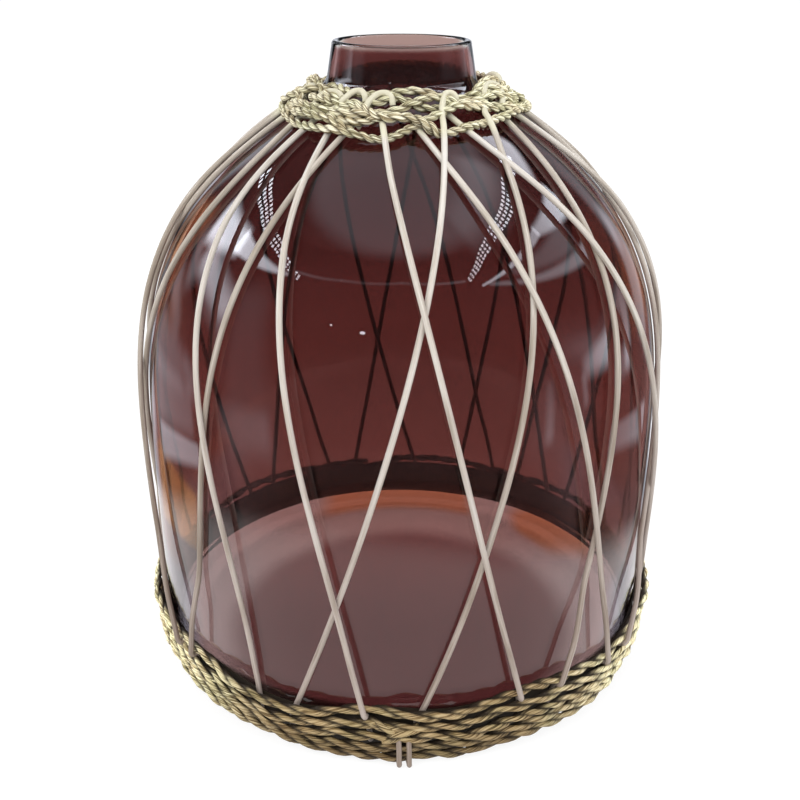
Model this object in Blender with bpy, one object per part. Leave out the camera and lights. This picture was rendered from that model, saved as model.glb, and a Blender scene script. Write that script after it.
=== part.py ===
"""A squat glass bottle vase in a draped cage of reeds, bound by two wound ropes.

Lengths are in metres and angles in degrees. The vase stands on z = 0 with +Z up.
Azimuth 0 faces the front, which is -Y, and grows toward +X.
"""

import math
from collections import namedtuple

import bmesh
import bpy
from mathutils import Vector

# Glass: one blown bottle with a short neck and a pushed-up base
VASE_HEIGHT = 0.280
NECK_HEIGHT = 0.0185
WIDEST_HEIGHT = 0.090
BELLY_RADIUS = 0.1182
HEEL_INSET = 0.0014
NECK_BASE_RADIUS = 0.0325
RIM_RADIUS = 0.0298
RIM_ROUNDING = 0.0008
NECK_FILLET = 0.0045
HEEL_ROUNDING = 0.008
INNER_HEEL_ROUNDING = 0.009
FOOT_RING_WIDTH = 0.009
PUSH_UP = 0.003
WALL = 0.003
FLOOR_THICKNESS = 0.006
SHOULDER_POWER = 3.5
PUSH_UP_POWER = 6.0
GLASS_SEGMENTS = 48
SHARP_ANGLE = 40

# Reeds and ropes
REED_DIAMETER = 0.0024
ROPE_DIAMETER = 0.0046
LASHING_DIAMETER = 0.0018
GAP = 0.0004
ROW_GAP = 0.0008
WEAVE_SLACK = 0.0004
BAND_LIFT = 0.0027
LASHING_PITCH = 0.0039
LASHING_SIDE = 0.0006
LASHING_TURNS = 2
ROW_COUNT = 4
COLLAR_SAG = 0.0045
COLLAR_SAG_POWER = 2

# How far a reed runs while it changes layer, below the collar and above the band
COLLAR_RUN = 0.007
BAND_RUN = 0.011
COLLAR_MARGIN = 0.0008

# Where each reed's azimuth is set, as shares of the height up to the neck: under the
# collar, on the shoulder, at the waist and at the foot
KNOT_SHARES = (0.956, 0.803, 0.459, 0.084)

# Reeds that travel right on the way down lie outside. Each row: azimuths at the four
# knots, then whether the foot passes in front of the band's top row.
RIGHT_REEDS = (
    (-82.0, -79.0, -71.0, -55.5, True),
    (-44.0, -47.7, -39.1, -31.0, False),
    (-31.7, -27.1, -17.5, -7.1, True),
    (-8.4, 1.6, 12.7, 24.5, True),
    (6.7, 24.5, 38.4, 48.6, True),
    (27.0, 48.5, 66.0, 79.0, False),
    (69.0, 80.0, 91.0, 102.0, True),
    (95.0, 104.0, 115.0, 126.5, False),
    (108.0, 122.5, 135.0, 145.0, True),
    (131.0, 145.0, 154.5, 162.5, False),
    (171.0, 177.0, 185.0, 193.5, True),
    (199.0, 206.0, 213.5, 220.5, False),
    (220.0, 230.0, 239.0, 246.0, True),
    (247.0, 256.0, 264.5, 277.0, False),
)

# Reeds that travel left on the way down lie inside, against the glass
LEFT_REEDS = (
    (-22.2, -35.4, -43.2, -50.1, True),
    (18.1, 7.6, -5.4, -21.7, False),
    (40.9, 30.6, 19.3, 3.8, False),
    (54.8, 51.9, 45.5, 33.3, True),
    (87.0, 84.0, 75.0, 57.3, True),
    (118.0, 108.0, 98.0, 85.0, False),
    (142.0, 130.5, 120.5, 110.0, True),
    (163.0, 156.0, 145.0, 133.0, False),
    (186.0, 175.0, 163.5, 152.5, True),
    (212.0, 200.0, 188.7, 175.6, False),
    (241.0, 228.0, 214.5, 201.0, True),
    (270.0, 257.0, 243.0, 228.5, False),
    (292.0, 281.0, 268.0, 254.0, True),
    (305.0, 298.0, 281.0, 266.0, False),
)

# Where each winding steps down from row to row, at the back
BAND_CLIMB = (179.0, 190.0)
COLLAR_CLIMB = (176.0, 210.0)

# Counts of steps along routes and outlines
OUTLINE_SAMPLES = 600
SHOULDER_STEPS = 9
WAIST_STEPS = 2
BELLY_STEPS = 2
BAND_STEP_ANGLE = 9.0
WEAVE_STEP_ANGLE = 5.5
WEAVE_HOLD_ANGLE = 2.2
COLLAR_STEP_ANGLE = 12.0
CLIMB_STEPS = 4
GAP_SAMPLES_PER_STEP = 4
NEIGHBOUR_DIAMETERS = 3
WAIST_SHARE = 0.29

NECK_BASE_HEIGHT = VASE_HEIGHT - NECK_HEIGHT
KNOT_HEIGHTS = [NECK_BASE_HEIGHT * share for share in KNOT_SHARES]
REED_RADIUS = REED_DIAMETER / 2
ROPE_RADIUS = ROPE_DIAMETER / 2
LASHING_RADIUS = LASHING_DIAMETER / 2
INNER_REED_OFFSET = GAP + REED_RADIUS
OUTER_REED_OFFSET = INNER_REED_OFFSET + REED_DIAMETER + GAP
ROPE_ON_GLASS = GAP + ROPE_RADIUS
ROPE_ON_REED = GAP + REED_DIAMETER + GAP + ROPE_RADIUS
REED_ROUND_ROPE = ROPE_RADIUS + GAP + REED_RADIUS
ROW_PITCH = ROPE_DIAMETER + ROW_GAP
REED_PITCH = 2 * REED_ROUND_ROPE + WEAVE_SLACK


def on_circle(centre, radius, angle):
    """A point of the (radius, height) half plane at an angle from the outward direction."""
    return (centre[0] + radius * math.cos(math.radians(angle)),
            centre[1] + radius * math.sin(math.radians(angle)))


def arc(centre, radius, start, end, steps):
    """Points along an arc of the half plane, both ends included."""
    return [on_circle(centre, radius, start + (end - start) * i / steps) for i in range(steps + 1)]


def at_azimuth(point, azimuth):
    """A point of the half plane, turned to its azimuth."""
    angle = math.radians(azimuth)
    return Vector((point[0] * math.sin(angle), -point[0] * math.cos(angle), point[1]))


def ease(share):
    """A smooth step from 0 to 1."""
    share = min(max(share, 0.0), 1.0)
    return share * share * (3 - 2 * share)


def body_radius(height):
    """The glass's outer radius between its heel and its neck."""
    if height < WIDEST_HEIGHT:
        return BELLY_RADIUS - HEEL_INSET * ((WIDEST_HEIGHT - height) / WIDEST_HEIGHT) ** 2
    rise = min((height - WIDEST_HEIGHT) / (NECK_BASE_HEIGHT - WIDEST_HEIGHT), 1.0)
    return NECK_BASE_RADIUS + (BELLY_RADIUS - NECK_BASE_RADIUS) * (1 - rise ** SHOULDER_POWER)


# A place on the outer wall. Run is the length along the wall from the neck. Turn is the
# sum of length over radius, over which a reed of steady lean changes azimuth evenly.
Place = namedtuple("Place", "run turn height")


def wall_places():
    """Close places down the outer wall, from the neck to the foot."""
    places = [Place(0.0, 0.0, NECK_BASE_HEIGHT)]
    for i in range(1, OUTLINE_SAMPLES + 1):
        height = NECK_BASE_HEIGHT * (1 - i / OUTLINE_SAMPLES)
        above = places[-1]
        step = math.hypot(above.height - height, body_radius(above.height) - body_radius(height))
        mean_radius = (body_radius(above.height) + body_radius(height)) / 2
        places.append(Place(above.run + step, above.turn + step / mean_radius, height))
    return places


WALL_PLACES = wall_places()


def place_at(**known):
    """The place on the wall with the given run or height, between two close ones."""
    (field, value), = known.items()
    for before, after in zip(WALL_PLACES, WALL_PLACES[1:]):
        first, last = getattr(before, field), getattr(after, field)
        if min(first, last) <= value <= max(first, last):
            break
    share = min(max((value - first) / (last - first), 0.0), 1.0)
    return Place(*(a + (b - a) * share for a, b in zip(before, after)))


def off_wall(run, offset):
    """The half-plane point at a run below the neck, a distance off the glass."""
    height = place_at(run=run).height
    step = NECK_BASE_HEIGHT / OUTLINE_SAMPLES
    above = min(height + step, NECK_BASE_HEIGHT)
    below = max(height - step, 0.0)
    rise = above - below
    growth = body_radius(below) - body_radius(above)
    length = math.hypot(rise, growth)
    return (body_radius(height) + offset * rise / length, height + offset * growth / length)


def neck_radius(height):
    """The outer radius of the tapered neck."""
    share = (height - NECK_BASE_HEIGHT) / (VASE_HEIGHT - NECK_BASE_HEIGHT)
    return NECK_BASE_RADIUS + (RIM_RADIUS - NECK_BASE_RADIUS) * share


def find_collar_runs():
    """Runs below the neck of the collar's four rows, from the top row down."""
    step = NECK_BASE_HEIGHT / OUTLINE_SAMPLES
    run = 0.0
    needed = REED_ROUND_ROPE + REED_RADIUS + GAP + WEAVE_SLACK
    centre = off_wall(run, ROPE_ON_REED)
    while centre[0] - neck_radius(centre[1]) < needed:
        run += step
        centre = off_wall(run, ROPE_ON_REED)
    runs = [run]
    for pitch in (REED_PITCH,) + (ROW_PITCH,) * (ROW_COUNT - 2):
        last = off_wall(runs[-1], ROPE_ON_REED)
        run = runs[-1]
        while math.dist(last, off_wall(run, ROPE_ON_REED)) < pitch:
            run += step
        runs.append(run)
    return runs


COLLAR_RUNS = find_collar_runs()
COLLAR_ROWS = [off_wall(run, ROPE_ON_REED) for run in COLLAR_RUNS]
COLLAR_EDGE = COLLAR_RUNS[-1] + COLLAR_SAG + ROPE_RADIUS + COLLAR_MARGIN

# Heights of the band's rows, from the top row down
WEAVE_PITCH = math.sqrt(REED_PITCH ** 2 - (ROPE_ON_REED - ROPE_ON_GLASS) ** 2)
BAND_BOTTOM = BAND_LIFT + ROPE_RADIUS
BAND_HEIGHTS = [BAND_BOTTOM + ROW_PITCH * rows for rows in range(ROW_COUNT - 2, -1, -1)]
BAND_HEIGHTS.insert(0, BAND_HEIGHTS[0] + WEAVE_PITCH)
BAND_ENTRY = BAND_HEIGHTS[0] + BAND_RUN


def reed_runs():
    """Runs of the stations shared by the reeds and the glass's rings."""
    first = COLLAR_EDGE + COLLAR_RUN
    widest = place_at(height=WIDEST_HEIGHT).run
    waist_height = WIDEST_HEIGHT + WAIST_SHARE * (NECK_BASE_HEIGHT - WIDEST_HEIGHT)
    waist = place_at(height=waist_height).run
    last = place_at(height=BAND_ENTRY).run
    runs = [first + (waist - first) * i / SHOULDER_STEPS for i in range(SHOULDER_STEPS)]
    runs += [waist + (widest - waist) * i / WAIST_STEPS for i in range(WAIST_STEPS)]
    runs += [widest + (last - widest) * i / BELLY_STEPS for i in range(BELLY_STEPS + 1)]
    return runs


REED_RUNS = reed_runs()


KNOT_TURNS = [place_at(height=height).turn for height in KNOT_HEIGHTS]


def azimuth_along(knots, run):
    """A reed's azimuth at a run: the cubic through its four knots, over the turn.

    Above the first knot, under the collar, the reed goes straight on.
    """
    turn = place_at(run=run).turn
    if turn < KNOT_TURNS[0]:
        lean = (knots[1] - knots[0]) / (KNOT_TURNS[1] - KNOT_TURNS[0])
        return knots[0] + lean * (turn - KNOT_TURNS[0])
    azimuth = 0.0
    for i, knot_turn in enumerate(KNOT_TURNS):
        weight = 1.0
        for j, other in enumerate(KNOT_TURNS):
            if j != i:
                weight *= (turn - other) / (knot_turn - other)
        azimuth += weight * knots[i]
    return azimuth


def foot_in_front():
    """A reed's foot from the band's entry, over the top row and behind the others."""
    wall = body_radius(BAND_HEIGHTS[0])
    first = (wall + ROPE_ON_GLASS, BAND_HEIGHTS[0])
    second = (body_radius(BAND_HEIGHTS[1]) + ROPE_ON_REED, BAND_HEIGHTS[1])
    slant = math.degrees(math.atan2(second[1] - first[1], second[0] - first[0]))
    swing = math.degrees(math.acos(2 * REED_ROUND_ROPE / math.dist(first, second)))
    leaving = slant + swing
    entry = (wall + OUTER_REED_OFFSET, BAND_ENTRY)
    facing = math.degrees(math.atan2(entry[1] - first[1], entry[0] - first[0]))
    opening = math.degrees(math.acos(REED_ROUND_ROPE / math.dist(entry, first)))
    points = arc(first, REED_ROUND_ROPE, facing - opening, leaving, 3)
    return points + arc(second, REED_ROUND_ROPE, leaving + 180, 180, 2)


def foot_behind():
    """A reed's foot from the band's entry, against the glass behind every row."""
    clear_height = BAND_HEIGHTS[0] + ROPE_DIAMETER
    return [(body_radius(height) + INNER_REED_OFFSET, height)
            for height in (clear_height, BAND_HEIGHTS[0])]


def reed_route(knots, in_front, outside):
    """A reed's points, from under the collar down to the band's lowest row."""
    span_offset = OUTER_REED_OFFSET if outside else INNER_REED_OFFSET
    edge_azimuth = azimuth_along(knots, COLLAR_EDGE)
    route = []
    for run in COLLAR_RUNS[2:] if outside else COLLAR_RUNS[1:]:
        azimuth = edge_azimuth if outside else azimuth_along(knots, run)
        route.append(at_azimuth(off_wall(run, INNER_REED_OFFSET), azimuth))
    route.append(at_azimuth(off_wall(COLLAR_EDGE, INNER_REED_OFFSET), edge_azimuth))
    for run in REED_RUNS:
        route.append(at_azimuth(off_wall(run, span_offset), azimuth_along(knots, run)))
    foot_points = foot_in_front() if in_front else foot_behind()
    foot_points.append((body_radius(BAND_BOTTOM) + INNER_REED_OFFSET, BAND_BOTTOM))
    for point in foot_points:
        above_foot = place_at(height=max(point[1], KNOT_HEIGHTS[-1]))
        route.append(at_azimuth(point, azimuth_along(knots, above_foot.run)))
    return route


def hook_over_collar(knots):
    """A reed's end: up beside the neck, over the collar's top row and down outside it."""
    centre = COLLAR_ROWS[0]
    under = off_wall(COLLAR_RUNS[0], INNER_REED_OFFSET)
    start = math.degrees(math.atan2(under[1] - centre[1], under[0] - centre[0])) + 360
    end = math.degrees(math.atan2(COLLAR_ROWS[1][1] - centre[1], COLLAR_ROWS[1][0] - centre[0]))
    azimuth = azimuth_along(knots, COLLAR_RUNS[0])
    return [at_azimuth(point, azimuth) for point in arc(centre, REED_ROUND_ROPE, end, start, 8)]


def inside_climb(azimuth, climb):
    """Whether an azimuth lies in the stretch where a winding steps down."""
    return climb[0] < azimuth % 360 < climb[1]


def band_feet():
    """The foot azimuths of all reeds, sorted, each with its place before the top row."""
    feet = [(row[3] % 360, row[4]) for row in RIGHT_REEDS + LEFT_REEDS]
    return sorted(feet)


def top_row_stops():
    """Azimuths and weave of the band's top row, once round from the climb's end.

    A weave of 0 lies on the glass, under a reed that passes in front. A weave of 1
    stands off the glass, over a reed that passes behind.
    """
    start, end = BAND_CLIMB[1], BAND_CLIMB[0] + 360
    feet = sorted((azimuth if azimuth > start else azimuth + 360, front) for azimuth, front in band_feet())
    stops = [(start, 1.0)]
    for azimuth, front in feet:
        weave = 0.0 if front else 1.0
        last, last_weave = stops[-1]
        near = azimuth - WEAVE_HOLD_ANGLE
        count = max(int((near - last) / WEAVE_STEP_ANGLE) + 1, 1)
        for i in range(1, count):
            share = i / count
            stops.append((last + (near - last) * share, last_weave + (weave - last_weave) * ease(share)))
        if near > last:
            stops.append((near, weave))
        stops.append((azimuth + WEAVE_HOLD_ANGLE, weave))
    if end > stops[-1][0]:
        stops.append((end, 1.0))
    return stops


def winding_stops(climb, step_angle):
    """Even azimuths of one plain row, once round from the climb's end to its start."""
    start, end = climb[1], climb[0] + 360
    count = math.ceil((end - start) / step_angle)
    return [start + (end - start) * i / count for i in range(count + 1)]


def climb_shares(climb):
    """Azimuths inside the climb, each with the eased share of the step down."""
    return [(climb[0] + (climb[1] - climb[0]) * i / CLIMB_STEPS, ease(i / CLIMB_STEPS))
            for i in range(1, CLIMB_STEPS)]


def band_route():
    """The base band's rope: a woven top row, then three plain rows behind one another."""
    route = []
    for azimuth, weave in top_row_stops():
        offset = ROPE_ON_GLASS + (ROPE_ON_REED - ROPE_ON_GLASS) * weave
        route.append(at_azimuth((body_radius(BAND_HEIGHTS[0]) + offset, BAND_HEIGHTS[0]), azimuth))
    spread = 1 / math.cos(math.radians(BAND_STEP_ANGLE / 2))
    for above, below in zip(BAND_HEIGHTS, BAND_HEIGHTS[1:]):
        for azimuth, share in climb_shares(BAND_CLIMB):
            height = above + (below - above) * share
            route.append(at_azimuth((body_radius(height) + ROPE_ON_REED, height), azimuth))
        for azimuth in winding_stops(BAND_CLIMB, BAND_STEP_ANGLE):
            radius = (body_radius(below) + ROPE_ON_REED) * spread
            route.append(at_azimuth((radius, below), azimuth))
    return route


def collar_place(row, azimuth):
    """The collar rope's half-plane point, where row may lie between two whole rows.

    The rows sag down the shoulder at the front, the lowest row most.
    """
    above = min(int(row), len(COLLAR_RUNS) - 2)
    run = COLLAR_RUNS[above] + (COLLAR_RUNS[above + 1] - COLLAR_RUNS[above]) * (row - above)
    facing = (1 + math.cos(math.radians(azimuth))) / 2
    sag = COLLAR_SAG * row / (ROW_COUNT - 1) * facing ** COLLAR_SAG_POWER
    radius, height = off_wall(run + sag, ROPE_ON_REED)
    return (radius / math.cos(math.radians(COLLAR_STEP_ANGLE / 2)), height)


def collar_route():
    """The collar's rope, wound down the shoulder from the neck."""
    route = []
    for row in range(ROW_COUNT):
        for azimuth in winding_stops(COLLAR_CLIMB, COLLAR_STEP_ANGLE):
            route.append(at_azimuth(collar_place(row, azimuth), azimuth))
        if row + 1 < ROW_COUNT:
            for azimuth, share in climb_shares(COLLAR_CLIMB):
                route.append(at_azimuth(collar_place(row + share, azimuth), azimuth))
    return route


def lashing_route():
    """Two turns of a thin reed round the band's three plain rows, at the front."""
    reach = ROPE_RADIUS + GAP + LASHING_RADIUS
    middle = body_radius(BAND_HEIGHTS[2]) + ROPE_ON_REED
    top, bottom = BAND_HEIGHTS[1], BAND_BOTTOM
    loop = arc((middle, bottom), reach, 180, 360, 4) + arc((middle, top), reach, 0, 180, 4)
    side_step = LASHING_PITCH / len(loop)
    first_side = LASHING_SIDE - LASHING_PITCH * LASHING_TURNS / 2
    return [Vector((first_side + side_step * i, -loop[i % len(loop)][0], loop[i % len(loop)][1]))
            for i in range(LASHING_TURNS * len(loop))]


def least_self_gap(route, diameter):
    """The least gap between stretches of one tube that aren't neighbours along it."""
    samples = []
    length = 0.0
    for a, b in zip(route, route[1:]):
        for i in range(GAP_SAMPLES_PER_STEP):
            share = i / GAP_SAMPLES_PER_STEP
            samples.append((a.lerp(b, share), length + (b - a).length * share))
        length += (b - a).length
    least = math.inf
    for i, (point, place) in enumerate(samples):
        for other, other_place in samples[i + 1:]:
            if other_place - place > NEIGHBOUR_DIAMETERS * diameter:
                least = min(least, (point - other).length)
    return least - diameter


def make_material(name, colour, roughness, alpha=1.0):
    """A Principled material of one colour."""
    material = bpy.data.materials.new(name)
    material.use_nodes = True
    shader = material.node_tree.nodes["Principled BSDF"]
    shader.inputs["Base Color"].default_value = (*colour, 1.0)
    shader.inputs["Roughness"].default_value = roughness
    shader.inputs["Metallic"].default_value = 0.0
    shader.inputs["Alpha"].default_value = alpha
    return material


def add_object(name, data, material):
    """Link an object with one material."""
    data.materials.append(material)
    item = bpy.data.objects.new(name, data)
    bpy.context.scene.collection.objects.link(item)
    return item


def add_tube(name, route, diameter, material):
    """A round tube along a route, closed at both ends."""
    curve = bpy.data.curves.new(name, "CURVE")
    curve.dimensions = "3D"
    curve.bevel_depth = diameter / 2
    curve.bevel_resolution = 1
    curve.use_fill_caps = True
    spline = curve.splines.new("POLY")
    spline.points.add(len(route) - 1)
    for point, place in zip(spline.points, route):
        point.co = (*place, 1.0)
    return add_object(name, curve, material)


def neck_outline():
    """The neck and rim, outside then inside, with the fillet that meets the shoulder."""
    corner = (NECK_BASE_RADIUS, NECK_BASE_HEIGHT)
    above = (neck_radius(NECK_BASE_HEIGHT + NECK_FILLET / 2), NECK_BASE_HEIGHT + NECK_FILLET / 2)
    below = off_wall(NECK_FILLET / 2, 0.0)
    outside = []
    for i in range(4):
        share = i / 3
        outside.append(tuple((1 - share) ** 2 * b + 2 * share * (1 - share) * c + share ** 2 * a
                             for b, c, a in zip(below, corner, above)))
    rim_low = VASE_HEIGHT - RIM_ROUNDING
    outside += arc((RIM_RADIUS - RIM_ROUNDING, rim_low), RIM_ROUNDING, 0, 90, 2)
    inner_rim = RIM_RADIUS - WALL
    inside = arc((inner_rim + RIM_ROUNDING, rim_low), RIM_ROUNDING, 90, 180, 2)
    inside.append((above[0] - WALL, above[1]))
    return outside + inside


def glass_outline():
    """Half of the bottle's section, from the underside's middle round to the floor's."""
    heel_radius = body_radius(HEEL_ROUNDING)
    foot_outer = heel_radius - HEEL_ROUNDING
    foot_inner = foot_outer - FOOT_RING_WIDTH
    under_shares = (0.0, 0.45, 0.75, 0.92, 1.0)
    outline = [(foot_inner * share, PUSH_UP * (1 - share ** PUSH_UP_POWER)) for share in under_shares]
    outline += arc((foot_outer, HEEL_ROUNDING), HEEL_ROUNDING, -90, 0, 4)
    runs = [COLLAR_RUNS[0], COLLAR_RUNS[1], COLLAR_RUNS[3], COLLAR_EDGE] + REED_RUNS
    outline += [off_wall(run, 0.0) for run in reversed(runs)]
    outline += neck_outline()
    outline += [off_wall(run, -WALL) for run in [COLLAR_RUNS[1], COLLAR_EDGE] + REED_RUNS]
    inner_wall = heel_radius - WALL
    heel_centre = (inner_wall - INNER_HEEL_ROUNDING, FLOOR_THICKNESS + INNER_HEEL_ROUNDING)
    outline += arc(heel_centre, INNER_HEEL_ROUNDING, 0, -90, 3)
    outline += [(heel_centre[0] * share, FLOOR_THICKNESS + PUSH_UP * (1 - share ** PUSH_UP_POWER))
                for share in under_shares[-2::-1]]
    return outline


def build_glass(material):
    """Spin the bottle's section into one closed solid."""
    mesh = bpy.data.meshes.new("glass_vase")
    shape = bmesh.new()
    outline = glass_outline()
    points = [shape.verts.new((radius, 0.0, height)) for radius, height in outline]
    edges = [shape.edges.new(pair) for pair in zip(points, points[1:])]
    bmesh.ops.spin(shape, geom=points + edges, cent=(0, 0, 0), axis=(0, 0, 1),
                   angle=2 * math.pi, steps=GLASS_SEGMENTS, use_merge=True)
    bmesh.ops.remove_doubles(shape, verts=shape.verts, dist=GAP / 10)
    bmesh.ops.recalc_face_normals(shape, faces=shape.faces)
    shape.to_mesh(mesh)
    shape.free()
    mesh.shade_smooth()
    mesh.set_sharp_from_angle(angle=math.radians(SHARP_ANGLE))
    return add_object("glass_vase", mesh, material)


def build_reeds(material):
    """The cage: outer reeds travel right, inner ones travel left and hook the collar."""
    for number, (*knots, in_front) in enumerate(RIGHT_REEDS, 1):
        route = reed_route(knots, in_front, outside=True)
        add_tube(f"reed_right_{number:02d}", route, REED_DIAMETER, material)
    for number, (*knots, in_front) in enumerate(LEFT_REEDS, 1):
        route = reed_route(knots, in_front, outside=False)
        if not inside_climb(azimuth_along(knots, COLLAR_RUNS[0]), COLLAR_CLIMB):
            route = hook_over_collar(knots) + route
        add_tube(f"reed_left_{number:02d}", route, REED_DIAMETER, material)


def build_ropes(rope, reed):
    """The two windings and the front lashing, with their least gaps to themselves."""
    routes = (("base_winding", band_route(), ROPE_DIAMETER, rope),
              ("collar_winding", collar_route(), ROPE_DIAMETER, rope),
              ("front_lashing", lashing_route(), LASHING_DIAMETER, reed))
    for name, route, diameter, material in routes:
        add_tube(name, route, diameter, material)
        print(f"{name}: least gap to itself {1000 * least_self_gap(route, diameter):.2f} mm")


def main():
    for item in list(bpy.data.objects):
        bpy.data.objects.remove(item)
    glass = make_material("amethyst_glass", (0.09, 0.02, 0.018), 0.05, alpha=0.6)
    reed = make_material("pale_reed", (0.60, 0.53, 0.42), 0.6)
    rope = make_material("seagrass_rope", (0.42, 0.37, 0.21), 0.85)
    build_glass(glass)
    build_reeds(reed)
    build_ropes(rope, reed)


main()
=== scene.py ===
import math
import random

import bmesh
import bpy
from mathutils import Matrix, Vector, kdtree, noise


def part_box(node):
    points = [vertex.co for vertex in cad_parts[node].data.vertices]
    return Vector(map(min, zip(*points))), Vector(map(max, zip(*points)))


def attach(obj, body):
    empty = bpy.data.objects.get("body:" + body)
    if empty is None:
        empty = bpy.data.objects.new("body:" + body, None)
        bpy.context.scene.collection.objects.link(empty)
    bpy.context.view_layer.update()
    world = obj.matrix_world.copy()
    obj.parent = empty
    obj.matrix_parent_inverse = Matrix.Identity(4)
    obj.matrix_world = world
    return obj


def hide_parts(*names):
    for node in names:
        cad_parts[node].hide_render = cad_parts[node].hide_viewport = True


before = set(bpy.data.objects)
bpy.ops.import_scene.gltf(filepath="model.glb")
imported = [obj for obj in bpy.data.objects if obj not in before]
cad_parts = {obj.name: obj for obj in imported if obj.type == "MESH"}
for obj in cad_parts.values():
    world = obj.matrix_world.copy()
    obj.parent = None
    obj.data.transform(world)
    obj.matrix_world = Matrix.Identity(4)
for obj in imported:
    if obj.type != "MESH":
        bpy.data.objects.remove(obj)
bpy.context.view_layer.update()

# The bottle, in metres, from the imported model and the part's own sizes
GLASS_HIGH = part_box("glass_vase")[1]
VASE_HEIGHT = GLASS_HIGH.z
BELLY_RADIUS = GLASS_HIGH.x
NECK_HEIGHT = 0.0185
WIDEST_HEIGHT = 0.090
HEEL_INSET = 0.0014
NECK_BASE_RADIUS = 0.0325
RIM_RADIUS = 0.0298
LIP_ROUNDING = 0.0013
NECK_FILLET = 0.009
HEEL_ROUNDING = 0.008
INNER_HEEL_ROUNDING = 0.009
FOOT_RING_WIDTH = 0.009
PUSH_UP = 0.003
WALL = 0.003
FLOOR_THICKNESS = 0.006
SHOULDER_POWER = 3.5
PUSH_UP_POWER = 6.0
NECK_BASE_HEIGHT = VASE_HEIGHT - NECK_HEIGHT

# Reeds, in metres. An offset is the distance of a reed's middle from the glass, and a run is
# a length down the wall from the neck's base. The outer reeds rise off the glass over
# COLLAR_RUN below the collar's edge, and come to their foot's offset over the foot's run.
REED_DIAMETER = 0.0025
REED_RADIUS = REED_DIAMETER / 2
LASHING_DIAMETER = 0.0023
INNER_REED_OFFSET = 0.0016
OUTER_REED_OFFSET = 0.0042
OVER_ROPE_OFFSET = 0.0057
FRONT_FOOT_OFFSET = 0.0056
BEHIND_FOOT_OFFSET = 0.0020
COLLAR_EDGE = 0.0260
COLLAR_RUN = 0.060
HOOKED_TOP_RUN = 0.0035
LOOPED_TOP_RUN = 0.0200
TUCKED_TOP_RUN = 0.0140
BAND_ENTRY = 0.012
FRONT_FOOT_RUN = 0.036
BEHIND_FOOT_RUN = 2.4 * FRONT_FOOT_RUN
FOOT_TURN_HEIGHT = 0.014
REED_ROUND_ROPE = 0.0032
HOOK_RADIUS = 0.0025
# Azimuths between which the left-leaning reeds end under the collar, not hooked over it
HOOKLESS = (100.0, 262.0)

# Ropes, in metres. A ply's radius and offset are those of a rope of size 1, a pitch is the
# length of one turn of the twist, and a spread is how far the plies part and close up, as a
# share of their offset.
PLY_RADIUS = 0.00137
PLY_OFFSET = 0.00095
COLLAR_SIZE, BAND_SIZE = 0.80, 0.93
COLLAR_PITCH, BAND_PITCH = 0.0105, 0.0250
COLLAR_SPREAD, BAND_SPREAD = 0.30, 0.70
ROPE_ON_GLASS = 0.0027
ROPE_ON_REED = 0.0055
ROW_STEP = 0.0045
# How far the dark ring of painted shade behind the band lies off the glass, at its inner and its
# outer face, in metres
SHADE_RING_OFFSETS = (0.00005, 0.00030)
# Azimuths between which the band steps down from one row to the next
BAND_CLIMB = (179.0, 190.0)

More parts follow.
